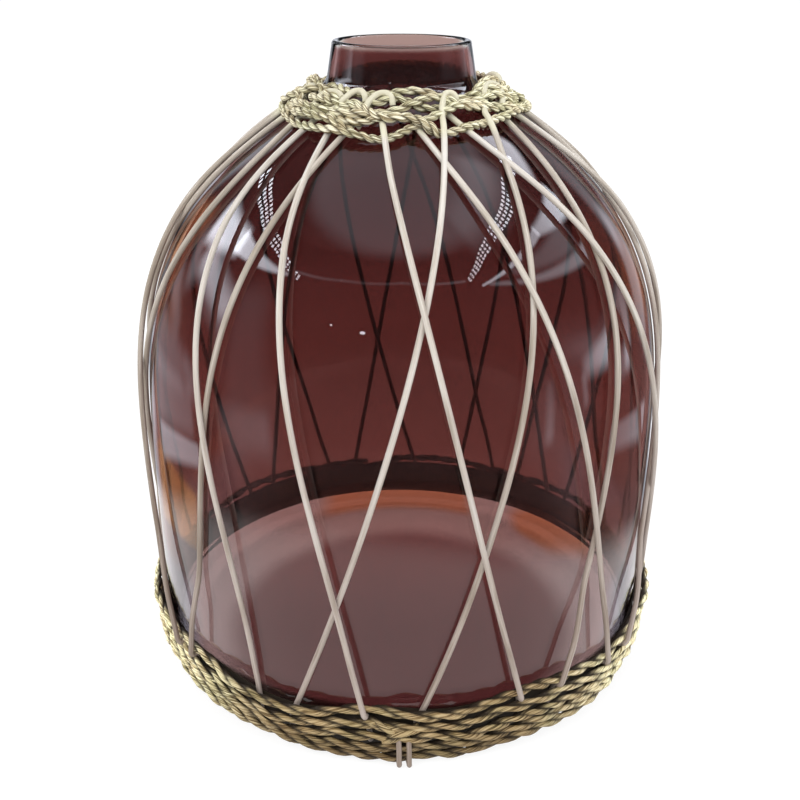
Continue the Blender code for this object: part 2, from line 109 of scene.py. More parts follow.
# The collar's cord, one length that passes the front five times: azimuth, run below the neck
# in millimetres and lift off the glass in millimetres
COLLAR_CORD = (
    (-110, 3.0, 4.6), (-92, 2.4, 5.4), (-80, 6.0, 6.2), (-68, 2.8, 4.4), (-56, 6.2, 6.4),
    (-46, 3.0, 5.0), (-37, 4.6, 5.0), (-25, 6.2, 5.0),
    (-12, 5.8, 4.8), (2, 3.2, 4.4), (11, 3.2, 4.4), (19, 6.0, 4.6), (26, 8.6, 4.2),
    (36, 9.0, 4.2), (48, 7.4, 5.0), (66, 6.0, 5.4), (90, 4.6, 5.2), (130, 4.0, 4.8),
    (170, 4.6, 4.8), (215, 6.6, 4.8), (250, 8.4, 4.8),
    (268, 8.0, 5.4), (280, 3.6, 4.2), (292, 8.6, 6.4), (304, 4.2, 4.2), (314, 8.6, 5.8),
    (323, 9.8, 5.2), (331, 11.0, 4.8), (340, 12.0, 4.6),
    (348, 10.6, 4.8), (356, 8.0, 5.0), (362, 9.0, 4.4), (368, 11.4, 3.6), (375, 13.4, 4.0),
    (382, 13.9, 4.6), (392, 12.8, 5.2), (404, 11.6, 5.2), (419, 11.0, 5.0), (442, 10.0, 5.0),
    (485, 8.6, 4.8), (525, 9.4, 4.8), (570, 11.6, 4.8), (605, 13.4, 4.8),
    (626, 12.6, 5.6), (640, 16.6, 6.2), (653, 12.4, 4.6), (667, 17.8, 6.2), (679, 15.0, 4.6),
    (692, 17.4, 5.2), (705, 17.4, 5.2),
    (712, 16.6, 5.0), (719, 14.8, 5.2), (727, 12.0, 6.4), (736, 9.6, 6.4), (745, 11.2, 6.0),
    (752, 14.6, 5.6), (760, 16.0, 5.2), (770, 18.0, 5.2), (788, 17.6, 5.2), (802, 16.2, 5.0),
    (845, 14.2, 4.8), (890, 14.6, 4.8), (930, 16.4, 4.8), (965, 17.6, 4.8),
    (986, 16.6, 4.4), (999, 13.2, 4.2), (1014, 19.4, 6.2), (1027, 15.6, 4.4), (1040, 21.6, 6.0),
    (1050, 21.2, 5.4),
    (1062, 22.6, 5.4), (1070, 20.6, 5.6), (1078, 19.4, 5.8), (1084, 21.0, 6.2),
    (1089, 23.8, 5.0), (1094, 26.0, 3.2), (1100, 26.0, 3.0), (1108, 24.4, 3.8),
    (1116, 23.0, 3.0), (1124, 22.6, 4.0), (1135, 22.0, 4.8), (1150, 20.8, 5.0), (1175, 19.4, 5.0),
    (1210, 18.8, 4.8), (1250, 19.2, 4.8), (1290, 20.6, 4.8), (1325, 21.4, 4.8),
    (1358, 20.4, 5.0), (1376, 22.4, 4.6), (1392, 25.0, 3.2), (1403, 26.4, 4.4),
    (1414, 27.2, 5.0), (1422, 28.2, 4.4), (1431, 29.0, 3.0), (1437, 27.6, 3.2),
    (1441, 24.8, 3.2), (1445, 22.6, 3.6), (1451, 20.0, 4.6), (1458, 17.6, 5.4),
    (1466, 15.0, 6.0), (1474, 14.4, 6.2), (1482, 15.4, 5.8), (1490, 17.4, 5.6),
    (1500, 20.0, 5.6), (1520, 22.8, 4.8), (1545, 23.6, 4.8), (1570, 23.4, 4.8),
)

# The foot band's five rows: azimuth and each row's height in millimetres
BAND_HEIGHTS = (
    (-220, 24.0, 19.5, 15.0, 10.5, 6.0), (-180, 24.0, 19.5, 15.0, 10.5, 6.0),
    (-120, 24.0, 19.5, 15.0, 10.5, 6.5), (-90, 24.5, 20.5, 16.5, 12.5, 9.0),
    (-70, 25.0, 21.5, 18.0, 14.5, 11.0), (-55, 25.0, 21.0, 17.0, 13.5, 10.5),
    (-45, 25.0, 19.5, 15.5, 12.0, 10.0), (-35, 22.5, 16.8, 13.0, 10.5, 9.0),
    (-27, 20.5, 14.6, 11.0, 9.0, 7.2), (-20, 20.8, 15.2, 11.0, 7.8, 5.6),
    (-13, 22.9, 18.4, 14.0, 8.6, 4.4), (-6, 25.0, 19.4, 13.6, 8.0, 3.8),
    (0, 25.0, 18.4, 12.8, 8.2, 3.9), (6, 23.6, 18.0, 14.0, 8.2, 3.8),
    (12, 23.4, 17.8, 12.4, 8.2, 4.0), (18, 25.0, 21.0, 14.0, 8.6, 5.4),
    (25, 26.4, 21.8, 16.0, 10.4, 6.6), (32, 26.4, 21.4, 15.8, 11.0, 7.4),
    (42, 24.5, 19.8, 14.8, 11.0, 8.2), (50, 22.0, 17.2, 13.4, 10.4, 8.0),
    (58, 23.0, 18.0, 14.4, 11.4, 9.0), (68, 25.0, 20.5, 16.5, 13.5, 10.8),
    (90, 24.5, 20.0, 16.0, 12.5, 9.0), (120, 24.0, 19.5, 15.0, 10.5, 6.5),
    (180, 24.0, 19.5, 15.0, 10.5, 6.0), (220, 24.0, 19.5, 15.0, 10.5, 6.0),
)
# How far each row stands off the glass at the front, in millimetres, from the top row down
BAND_LIFTS = (5.5, 5.4, 6.0, 5.6, 6.4)

# Where each reed's azimuth is set, as shares of the height up to the neck. A reed's row gives
# its azimuths there, and whether its foot passes in front of the band's top row.
KNOT_SHARES = (0.956, 0.803, 0.459, 0.084)
RIGHT_REEDS = (
    (-82.0, -79.0, -71.0, -55.5, True),
    (-44.0, -47.7, -39.1, -31.0, False),
    (-31.7, -27.1, -17.5, -7.1, True),
    (-8.4, 1.6, 12.7, 24.5, True),
    (6.7, 24.5, 38.4, 48.6, True),
    (27.0, 48.5, 66.0, 79.0, False),
    (69.0, 80.0, 91.0, 102.0, True),
    (95.0, 104.0, 115.0, 126.5, False),
    (108.0, 122.5, 135.0, 145.0, True),
    (131.0, 145.0, 154.5, 162.5, False),
    (171.0, 177.0, 185.0, 193.5, True),
    (199.0, 206.0, 213.5, 220.5, False),
    (220.0, 230.0, 239.0, 246.0, True),
    (247.0, 256.0, 264.5, 277.0, False),
)
LEFT_REEDS = (
    (-22.2, -35.4, -43.2, -50.1, True),
    (18.1, 7.6, -5.4, -21.7, False),
    (40.9, 30.6, 19.3, 3.8, False),
    (54.8, 51.9, 45.5, 33.3, True),
    (87.0, 84.0, 75.0, 57.3, True),
    (118.0, 108.0, 98.0, 85.0, False),
    (142.0, 130.5, 120.5, 110.0, True),
    (163.0, 156.0, 145.0, 133.0, False),
    (186.0, 175.0, 163.5, 152.5, True),
    (212.0, 200.0, 188.7, 175.6, False),
    (241.0, 228.0, 214.5, 201.0, True),
    (270.0, 257.0, 243.0, 228.5, False),
    (292.0, 281.0, 268.0, 254.0, True),
    (305.0, 298.0, 281.0, 266.0, False),
)

# Reeds that pass over the collar's lowest strand: the strand's run in millimetres there
OVER_LOWEST = {"right_04": 29.0, "left_02": 26.0, "left_03": 23.0}
# How far above and below that strand such a reed begins to rise, in millimetres
OVER_LOWEST_RISE = (16.0, 22.0)

# The front reeds' upper ends, looped over the collar's top strand: azimuth, run below the
# neck in millimetres and lift off the glass in millimetres, from the tucked end onward
LOOPS = {
    "left_01": ((-4.6, 11.2, 3.4), (-5.4, 9.0, 5.4), (-7.4, 7.6, 6.2), (-10.2, 7.0, 6.2),
                (-13.0, 7.8, 6.2), (-15.0, 10.0, 6.2), (-16.4, 13.0, 6.2), (-17.4, 16.4, 5.2),
                (-18.4, 19.6, 3.0), (-19.2, 22.2, 1.8)),
    "left_02": ((29.4, 11.8, 3.6), (29.4, 9.6, 5.6), (27.6, 8.0, 6.2), (25.0, 7.8, 6.2),
                (22.4, 9.4, 6.2), (20.8, 12.0, 6.2), (19.2, 15.0, 5.6), (18.2, 18.0, 5.0)),
    "left_03": ((44.4, 10.0, 2.4), (43.6, 13.0, 3.8), (42.6, 16.5, 4.8)),
    "left_04": ((52.0, 10.2, 4.0), (53.0, 8.0, 5.6), (58.0, 6.0, 6.2), (65.0, 5.4, 6.2),
                (70.0, 7.4, 6.2), (66.5, 10.4, 6.2), (61.0, 13.8, 6.2), (56.0, 17.0, 4.6),
                (54.0, 20.0, 2.0)),
    "left_12": ((-47.0, 10.6, 2.6), (-50.0, 8.4, 4.2), (-57.0, 6.4, 4.8), (-67.0, 5.4, 4.8),
                (-72.0, 6.8, 4.8), (-71.0, 9.8, 4.8), (-66.0, 13.6, 4.6), (-66.0, 16.6, 3.6),
                (-75.0, 19.0, 2.0)),
    "left_13": ((-31.6, 12.6, 2.6), (-33.4, 9.8, 4.4), (-37.0, 7.8, 5.2), (-42.0, 7.0, 5.2),
                (-46.0, 7.6, 5.2), (-47.8, 10.0, 5.2), (-47.8, 13.2, 5.0), (-48.8, 16.0, 4.0),
                (-56.0, 18.6, 2.0)),
    "left_14": ((-19.2, 10.8, 3.6), (-20.0, 8.6, 5.6), (-22.4, 6.8, 6.2), (-25.2, 6.4, 6.2),
                (-27.8, 7.6, 6.2), (-29.4, 10.0, 6.2), (-30.6, 13.0, 6.0), (-33.0, 15.8, 4.8),
                (-42.0, 19.0, 2.0)),
}
# Shorter strands of cord that lie over the collar's turns: azimuth, run and lift, as above
OVERLAYS = (
    ((-70, 15.6, 3.0), (-63, 17.2, 5.4), (-54, 17.6, 6.4), (-46, 18.2, 6.4), (-38, 18.4, 5.6),
     (-33, 16.4, 3.6)),
    ((-58, 9.8, 3.2), (-52, 12.4, 5.8), (-46, 13.0, 6.6), (-39, 13.8, 6.6), (-32, 14.6, 6.0),
     (-27, 12.6, 3.4)),
    ((-62, 19.0, 2.6), (-54, 21.0, 5.0), (-47, 21.8, 6.4), (-38, 22.4, 6.6), (-32, 23.2, 6.4),
     (-26, 25.0, 5.6), (-20, 26.6, 3.4)),
    ((-38, 16.6, 3.0), (-33, 18.6, 5.4), (-26, 19.8, 6.6), (-19, 20.0, 6.6), (-14, 18.4, 5.4),
     (-9, 15.6, 3.2)),
    ((-35, 12.6, 3.0), (-29, 16.0, 6.0), (-23, 15.4, 6.8), (-17, 17.0, 7.0), (-12, 20.0, 6.8),
     (-6, 21.8, 6.6), (0, 21.0, 6.2), (4, 21.4, 6.4), (8, 23.4, 6.4), (11, 25.0, 5.6),
     (15, 27.6, 3.2)),
    ((-80, 8.4, 3.4), (-74, 11.6, 5.6), (-66, 12.0, 6.4), (-59, 8.8, 6.6), (-53, 6.4, 5.6),
     (-48, 8.6, 3.6)),
    ((-84, 16.6, 3.0), (-78, 18.2, 5.4), (-71, 15.2, 6.4), (-64, 13.2, 6.4), (-57, 15.6, 5.0),
     (-52, 18.4, 3.0)),
    ((55, 6.4, 3.2), (62, 8.4, 6.2), (70, 11.6, 6.6), (77, 10.2, 6.4), (84, 7.0, 5.6),
     (92, 9.2, 3.4)),
    ((56, 17.6, 3.0), (62, 14.8, 5.6), (70, 15.6, 6.6), (78, 18.8, 6.4), (86, 16.4, 4.0)),
    ((-96, 4.4, 3.0), (-86, 4.6, 5.2), (-76, 2.8, 5.8), (-66, 3.4, 6.2), (-57, 5.4, 5.6),
     (-50, 7.2, 3.4)),
    ((48, 6.4, 3.0), (56, 4.6, 5.6), (66, 3.8, 6.2), (76, 4.8, 6.2), (86, 6.4, 5.0),
     (94, 9.0, 3.0)),
    ((44, 13.2, 3.0), (50, 11.6, 5.4), (57, 12.6, 6.4), (64, 16.2, 6.2), (70, 19.6, 3.4)),
)
# Cut ends of cord beside the lashing: azimuth, height and lift in millimetres
TAILS = (
    ((-7.0, 20.8, 3.6), (-5.0, 20.4, 6.0), (-3.0, 18.4, 7.0), (-1.6, 16.6, 5.6)),
    ((-3.6, 12.6, 6.4), (-1.6, 14.2, 7.2), (1.2, 16.8, 6.4), (3.4, 17.6, 4.6)),
)

# What the glass mirrors of the room, as soft strokes: azimuth and height where each
# starts and ends, half width at the start and at the end, softness, all in degrees, and
# brightness at the start and at the end
ROOM_STROKES = (
    (-200, 90, 200, 90, 33, 33, 9, 1.02, 1.02), (55, 60, 112, 60, 9, 9, 10, 0.7, 1.3),
    (-180, 3, -156, 0, 9, 6, 6, 0.95, 0.5), (156, 0, 180, 3, 6, 9, 6, 0.5, 0.95),
    (-75, 20, -66, -18, 9, 12, 12, 0.42, 0.22), (98, 2, 114, 2, 2.5, 3, 6, 0.3, 0.7),
    (-124, 14, -119, 9, 3, 4, 7, 1.0, 0.9), (-106, -10, -99, -13, 2.5, 2.5, 5, 0.8, 0.8),
    (-62, 39.3, -35, 43.0, 0.5, 0.5, 0.8, 0.9, 0.6), (-35, 43, 0, 45.3, 0.5, 0.5, 0.8, 0.6, 0.6),
    (0, 45.3, 36, 42.5, 0.5, 0.5, 0.8, 0.6, 1.1),
    (-19, 24.0, -17, 24.0, 0.5, 0.5, 0.4, 16.0, 16.0),
    (-33.4, 25.2, -32.8, 25.2, 0.35, 0.35, 0.3, 16.0, 16.0),
    (-123, 22, -102, 30, 5.5, 4.2, 5, 8.5, 11), (-102, 30.5, -66, 36.6, 3.8, 0.4, 2.0, 10, 7),
    (-112, 17, -89, 15, 5, 4.5, 8, 4.8, 4.2), (-106, 10, -92, 10, 3, 3.5, 9, 0.2, 1.8),
    (-128, 1, -118, -4, 4, 3.0, 6, 0.7, 0.5), (-88, 10, -86, -4, 3.0, 2.5, 8, 0.6, 0.4),
    (-154, 1, -143, 36, 4, 4, 5, 0.6, 1.8),
    (-150, -11, -112, -11, 5, 4, 6, 0.35, 0.6),
    (-150, -19, -104, -17, 4, 4, 4, 0.45, 0.75),
    (-136, -23.6, -100, -23.2, 1.4, 1.4, 1.2, 0.9, 2.1),
    (-82, -16, -60, -15, 4, 4.5, 6, 0.45, 0.75),
    (-180, -21, -149, -21, 9, 8, 5, 0.75, 0.45), (149, -21, 180, -21, 8, 9, 5, 0.45, 0.75),
    (130, 51, 130, 40, 9.0, 7.5, 4, 5.5, 6.2), (146, 30, 138, 6, 6, 4, 6, 0.5, 0.7),
    (45, 38.6, 70, 40.2, 0.4, 0.9, 1.0, 7.0, 6.0), (70, 40.2, 94, 39.8, 0.9, 1.7, 1.4, 6.0, 5.0),
    (94, 39.8, 122, 31.2, 1.7, 4.4, 2.6, 5.0, 8.0), (50, 37.8, 112, 20, 0.4, 2.2, 2.4, 2.6, 2.6),
    (62, 38.5, 108, 29, 0.8, 5.0, 4, 1.0, 1.3),
    (144, 4, 134, -10, 8, 6, 5, 0.9, 0.7), (120, 3, 116, -10, 3, 2.4, 4, 0.7, 1.9),
    (104, -11, 114, -10, 2, 3, 4, 0.5, 0.8),
    (86, -4, 101, -3.5, 2.6, 3.8, 5, 2.0, 4.4), (76, 4, 92, 0, 3, 3, 7, 0.3, 0.8),
    (64.5, -5, 64.7, -16, 1.6, 2.0, 4, 0.7, 1.4), (83.5, -7, 84.5, -12, 1.2, 1.2, 3, 1.3, 1.2),
    (100, -21.5, 136, -22, 1.6, 1.6, 1.6, 0.9, 0.9),
    (78, 6, 70, -18, 14, 16, 12, 0.22, 0.30),
)
# Strips of small lights in the room: the same ends and half widths, the number of rows and
# the brightness
LIGHT_STRIPS = (
    (-130, 36.0, -108, 41.0, 3.0, 2.6, 9, 13.0), (-108, 41.0, -80, 41.5, 2.6, 2.2, 11, 13.0),
    (-80, 41.5, -58, 37.6, 2.2, 1.0, 9, 13.0),
    (130, 45.5, 110, 50.6, 2.6, 2.6, 7, 13.0), (110, 50.6, 71, 52.6, 2.6, 2.4, 13, 13.0),
    (71, 52.6, 54, 49.4, 2.4, 2.0, 6, 13.0), (54, 49.4, 38, 42.3, 2.0, 1.0, 7, 13.0),
)

# The photograph's camera: its place in metres, its tilt below level in degrees, and its lens
# and sensor width in millimetres
CAMERA_PLACE = (-0.0007, -0.4942, 0.3225)
CAMERA_PITCH = 22.9
CAMERA_LENS = 50.0
CAMERA_SENSOR = 36.0


def on_circle(centre, radius, angle):
    """A point of the (radius, height) half plane at an angle from the outward direction."""
    return (centre[0] + radius * math.cos(math.radians(angle)),
            centre[1] + radius * math.sin(math.radians(angle)))


def arc(centre, radius, start, end, steps):
    """Points along an arc of the half plane, both ends included."""
    return [on_circle(centre, radius, start + (end - start) * i / steps) for i in range(steps + 1)]


def bend(first, corner, last, steps):
    """A smooth bend from the first point to the last, drawn toward the corner."""
    points = []
    for i in range(steps + 1):
        t = i / steps
        points.append(tuple((1 - t) ** 2 * a + 2 * t * (1 - t) * c + t ** 2 * b
                            for a, c, b in zip(first, corner, last)))
    return points


def at_azimuth(point, azimuth):
    """A point of the half plane, turned to its azimuth."""
    angle = math.radians(azimuth)
    return Vector((point[0] * math.sin(angle), -point[0] * math.cos(angle), point[1]))


def ease(share):
    """A smooth step from 0 to 1."""
    share = min(max(share, 0.0), 1.0)
    return share * share * (3 - 2 * share)


def wander(place, seed):
    """A smooth random value between about -1 and 1."""
    return noise.noise(Vector((place, 7.3 * seed, 1.7 * seed)))


def body_radius(height):
    """The glass's outer radius between its heel and its neck."""
    if height < WIDEST_HEIGHT:
        return BELLY_RADIUS - HEEL_INSET * ((WIDEST_HEIGHT - height) / WIDEST_HEIGHT) ** 2
    rise = min((height - WIDEST_HEIGHT) / (NECK_BASE_HEIGHT - WIDEST_HEIGHT), 1.0)
    return NECK_BASE_RADIUS + (BELLY_RADIUS - NECK_BASE_RADIUS) * (1 - rise ** SHOULDER_POWER)


def wall_places(count=1200):
    """Close (run, turn, height) places down the outer wall, from the neck to the foot. The turn
    adds up run over radius, so a reed of steady slant gains azimuth evenly with it."""
    places = [(0.0, 0.0, NECK_BASE_HEIGHT)]
    for i in range(1, count + 1):
        height = NECK_BASE_HEIGHT * (1 - i / count)
        run, turn, above = places[-1]
        step = math.hypot(above - height, body_radius(above) - body_radius(height))
        middle = (body_radius(above) + body_radius(height)) / 2
        places.append((run + step, turn + step / middle, height))
    return places


WALL_PLACES = wall_places()


def place_at(field, value):
    """The place where one field (0 run, 1 turn, 2 height) has this value."""
    rising = -1 if field == 2 else 1
    low, high = 0, len(WALL_PLACES) - 1
    while high - low > 1:
        middle = (low + high) // 2
        if rising * WALL_PLACES[middle][field] <= rising * value:
            low = middle
        else:
            high = middle
    before, after = WALL_PLACES[low], WALL_PLACES[high]
    share = (value - before[field]) / (after[field] - before[field])
    share = min(max(share, 0.0), 1.0)
    return tuple(a + (b - a) * share for a, b in zip(before, after))


def off_wall(run, offset):
    """The half-plane point at a run below the neck, a distance off the glass."""
    height = place_at(0, run)[2]
    step = 0.0005
    above, below = min(height + step, NECK_BASE_HEIGHT), max(height - step, 0.0)
    rise, growth = above - below, body_radius(below) - body_radius(above)
    length = math.hypot(rise, growth)
    return (body_radius(height) + offset * rise / length, height + offset * growth / length)


def through(points, place):
    """Smooth values at a place between listed points, whose first field is the place."""
    i = 1
    while i < len(points) - 3 and points[i + 1][0] < place:
        i += 1
    before, first, last, after = points[i - 1:i + 3]
    span = last[0] - first[0]
    t = min(max((place - first[0]) / span, 0.0), 1.0)
    values = []
    for k in range(1, len(first)):
        leave = (last[k] - before[k]) / (last[0] - before[0]) * span
        arrive = (after[k] - first[k]) / (after[0] - first[0]) * span
        values.append((2 * t ** 3 - 3 * t ** 2 + 1) * first[k] + (t ** 3 - 2 * t ** 2 + t) * leave
                      + (3 * t ** 2 - 2 * t ** 3) * last[k] + (t ** 3 - t ** 2) * arrive)
    return values


def neck_radius(height):
    """The outer radius of the tapered neck."""
    share = (height - NECK_BASE_HEIGHT) / NECK_HEIGHT
    return NECK_BASE_RADIUS + (RIM_RADIUS - NECK_BASE_RADIUS) * share


KNOT_TURNS = [place_at(2, NECK_BASE_HEIGHT * share)[1] for share in KNOT_SHARES]


def band_heights(azimuth):
    """The heights of the band's rows at an azimuth, in metres, from the top row down."""
    return [height / 1000 for height in through(BAND_HEIGHTS, (azimuth + 180) % 360 - 180)]


def azimuth_along(knots, run):
    """A reed's azimuth at a run: the cubic through its four knots, over the turn."""
    turn = place_at(0, run)[1]
    if turn < KNOT_TURNS[0]:
        lean = (knots[1] - knots[0]) / (KNOT_TURNS[1] - KNOT_TURNS[0])
        return knots[0] + lean * (turn - KNOT_TURNS[0])
    azimuth = 0.0
    for i, knot_turn in enumerate(KNOT_TURNS):
        weight = 1.0
        for j, other in enumerate(KNOT_TURNS):
            if j != i:
                weight *= (turn - other) / (knot_turn - other)
        azimuth += weight * knots[i]
    return azimuth


class Value:
    """A socket of a material; arithmetic on it adds Math nodes."""

    def __init__(self, finish, socket):
        self.finish = finish
        self.socket = socket

    def math(self, operation, *others):
        return self.finish.node("ShaderNodeMath", {"operation": operation}, [self, *others])

    def __add__(self, other):
        return self.math("ADD", other)

    def __mul__(self, other):
        return self.math("MULTIPLY", other)

    def __sub__(self, other):
        return self.math("SUBTRACT", other)

    def __truediv__(self, other):
        return self.math("DIVIDE", other)

    def __rsub__(self, other):
        return self.finish.node("ShaderNodeMath", {"operation": "SUBTRACT"}, [other, self])

    __radd__ = __add__
    __rmul__ = __mul__

    def between(self, low, high):
        """Rises smoothly from 0 at low to 1 at high."""
        settings = {"interpolation_type": "SMOOTHSTEP"}
        return self.finish.node("ShaderNodeMapRange", settings, [self, low, high, 0.0, 1.0])


class Finish:
    """A material under construction."""

    def __init__(self, name, world=None):
        self.material = world or bpy.data.materials.new(name)
        self.material.use_nodes = True
        self.tree = self.material.node_tree
        self.tree.nodes.clear()
        kind = "ShaderNodeOutputWorld" if world else "ShaderNodeOutputMaterial"
        self.output = self.tree.nodes.new(kind)

    def put(self, socket, value):
        """Link or write a value into a socket."""
        if isinstance(value, Value):
            self.tree.links.new(value.socket, socket)
        else:
            socket.default_value = value

    def node(self, kind, settings=None, values=(), out=0):
        """Add a node; values are a list by place or a dict by socket name."""
        node = self.tree.nodes.new(kind)
        settings = dict(settings or {})
        stops = settings.pop("stops", None)
        for key, setting in settings.items():
            setattr(node, key, setting)
        if stops:
            elements = node.color_ramp.elements
            while len(elements) < len(stops):
                elements.new(1.0)
            for element, (place, colour) in zip(elements, stops):
                element.position = place
                element.color = (*colour, 1.0)
        pairs = values.items() if isinstance(values, dict) else enumerate(values)
        for key, value in pairs:
            self.put(node.inputs[key], value)
        return Value(self, node.outputs[out])

    def mix(self, factor, first, second):
        """A colour between two colours."""
        node = self.tree.nodes.new("ShaderNodeMix")
        node.data_type = "RGBA"
        for index, value in zip((0, 6, 7), (factor, first, second)):
            if isinstance(value, tuple):
                value = (*value, 1.0)
            self.put(node.inputs[index], value)
        return Value(self, node.outputs[2])

    def ramp(self, factor, stops):
        return self.node("ShaderNodeValToRGB", {"stops": stops}, [factor])

    def noise(self, vector, scale, detail=3.0, roughness=0.55):
        values = {"Vector": vector, "Scale": scale, "Detail": detail, "Roughness": roughness}
        return self.node("ShaderNodeTexNoise", {}, values)

    def places(self):
        """Object coordinates."""
        return self.node("ShaderNodeTexCoord", {}, [], out=3)

    def along_cane(self, radius, stretch, lean=0.0):
        """Coordinates that follow a tube: round it as a circle, which leans by an angle a
        metre, and along it."""
        along, around, _ = self.parts(self.node("ShaderNodeUVMap", {"uv_map": "UVMap"}))
        angle = around * (2 * math.pi) + along * lean
        circle = [angle.math("COSINE") * radius, angle.math("SINE") * radius]
        return self.node("ShaderNodeCombineXYZ", {}, [*circle, along * stretch])

    def parts(self, vector):
        """The three components of a vector."""
        node = self.tree.nodes.new("ShaderNodeSeparateXYZ")
        self.put(node.inputs[0], vector)
        return [Value(self, output) for output in node.outputs]

    def vector(self, operation, *values, out=0):
        """A Vector Math node; its second output is a length."""
        return self.node("ShaderNodeVectorMath", {"operation": operation}, values, out)

    def attribute(self, name):
        """A number that each point of the mesh holds."""
        return self.node("ShaderNodeAttribute", {"attribute_name": name}, [], out=2)

    def bump(self, height, strength, distance):
        return self.node("ShaderNodeBump", {},
                         {"Height": height, "Strength": strength, "Distance": distance})

    def principled(self, values):
        """A Principled BSDF with these values."""
        return self.node("ShaderNodeBsdfPrincipled", {}, values)

    def blend(self, factor, first, second):
        """A shader between two shaders."""
        return self.node("ShaderNodeMixShader", {}, [factor, first, second])

    def show(self, shader):
        """Link a shader to the output and give the finished material back."""
        self.tree.links.new(shader.socket, self.output.inputs["Surface"])
        return self.material


def wall_tint_and_light(finish, across, along, height):
    """The glass's colour up its wall, with painted light in it: deepest on the shoulder, clear
    along the rim as a painted highlight, lighter on the inner lip as a painted reflection, painted
    orange where warm light from the room comes through the left side and on both sides higher up,
    and painted darker and bluer on the low sides."""
    aside = across.math("ABSOLUTE")
    leftward = 0.0 - across
    tint_and_light = finish.mix(height.between(0.070, 0.110), (0.315, 0.176, 0.168), (0.325, 0.142, 0.128))
    tint_and_light = finish.mix(height.between(0.125, 0.215), tint_and_light, (0.19, 0.082, 0.080))
    # Painted light: orange on both sides of the upper body, for warm room light coming through the
    # glass.
    sides = aside.between(0.086, 0.098) * height.between(0.160, 0.182)
    tint_and_light = finish.mix(sides, tint_and_light, (0.42, 0.17, 0.10))
    # Painted reflection: the low sides are made darker and bluer, standing in for the pale bluish
    # haze of the room that the glass reflects there.
    low_sides_haze_tint = aside.between(0.086, 0.100) * (1.0 - height.between(0.052, 0.064))
    tint_and_light = finish.mix(low_sides_haze_tint, tint_and_light, (0.30, 0.245, 0.285))
    # Painted light: two orange patches on the left, for warm room light coming through the glass.
    warm_light_patch = leftward.between(0.0835, 0.0875) * height.between(0.0745, 0.0785)
    warm_light_patch = warm_light_patch * (1.0 - along.between(-0.052, -0.040))
    warm_light_patch = warm_light_patch * (1.0 - (height + across * 0.5).between(0.058, 0.064))
    tint_and_light = finish.mix(warm_light_patch, tint_and_light, (0.70, 0.33, 0.15))
    warm_light_patch = (leftward + height * 0.86).between(0.2615, 0.2650) * height.between(0.188, 0.194)
    warm_light_patch = warm_light_patch * (1.0 - along.between(-0.026, -0.016)) * (1.0 - height.between(0.214, 0.222))
    tint_and_light = finish.mix(warm_light_patch, tint_and_light, (0.85, 0.42, 0.24))
    tint_and_light = finish.mix(height.between(0.252, 0.262), tint_and_light, (0.19, 0.105, 0.105))
    tint_and_light = finish.mix(height.between(0.262, 0.274), tint_and_light, (0.33, 0.155, 0.150))
    # Painted highlight: the top of the lip is nearly clear, so it shows as a pale line along the
    # rim.
    tint_and_light = finish.mix(height.between(0.2768, 0.2786), tint_and_light, (0.86, 0.93, 0.90))
    # Painted reflection: the rear of the inner lip is lighter, for the bright ceiling mirrored in
    # it.
    inner_lip_reflection = along.between(0.004, 0.014) * height.between(0.267, 0.273)
    return finish.mix(inner_lip_reflection, tint_and_light, (0.40, 0.27, 0.245))


def base_tint_and_light(finish, across, along, spread, reach):
    """The base's colour, with painted light and shade: a brown disc, darker toward the front as
    painted shade of the table under the vase, in a nearly clear ring of painted light, partly
    orange at the rear as painted light that leaks onto the table there.
    """
    # Painted shade: the disc is darkest at the front, for the shaded table under the vase; the
    # nearly clear ring is painted light, for the lit table seen under the base's edge.
    disc = finish.mix(along.between(-0.045, 0.030), (0.26, 0.118, 0.125), (0.375, 0.195, 0.20))
    tint_and_light = finish.mix(spread.between(0.074, 0.092), disc, (0.84, 0.97, 1.0))
    middle = across.between(-0.054, -0.038) * (1.0 - across.between(0.036, 0.046))
    right = across.between(0.060, 0.070) * (1.0 - along.between(0.085, 0.092))
    # Painted light: orange toward the rear, for room light leaking onto the table under the base.
    rear = along.between(0.030, 0.050) * reach.between(0.086, 0.094) * (middle + right)
    return finish.mix(rear, tint_and_light, (0.93, 0.62, 0.37))


def glass_finish():
    """Brown amethyst glass, clear and glossy, with painted light and shade in its colour."""
    finish = Finish("amethyst_glass")
    places = finish.places()
    across, along, height = finish.parts(places)
    spread = finish.vector("LENGTH", finish.vector("ADD", places, (0.0, 0.024, 0.0)), out=1)
    reach = (across * across + along * along).math("SQRT")
    wall = wall_tint_and_light(finish, across, along, height)
    # Painted shade: the wall is near black behind the band, for the band's shade on the glass.
    heel = (1.0 - height.between(0.0225, 0.0245)) * reach.between(0.1100, 0.1115)
    wall = finish.mix(heel, wall, (0.05, 0.030, 0.026))
    base = base_tint_and_light(finish, across, along, spread, reach)
    tint_and_light = finish.mix(height.between(0.009, 0.013), base, wall)
    normal = finish.bump(finish.noise(places, 14.0, 2.0, 0.4), 0.10, 0.004)
    glass = finish.principled({"Base Color": tint_and_light, "Roughness": 0.015, "IOR": 1.52,
                               "Transmission Weight": 1.0, "Normal": normal})
    pale_shadow = finish.node("ShaderNodeBsdfTransparent", {}, [(0.62, 0.42, 0.42, 1.0)])
    shadow_ray = finish.node("ShaderNodeLightPath", {}, [], out=1)
    return finish.show(finish.blend(shadow_ray, glass, pale_shadow))


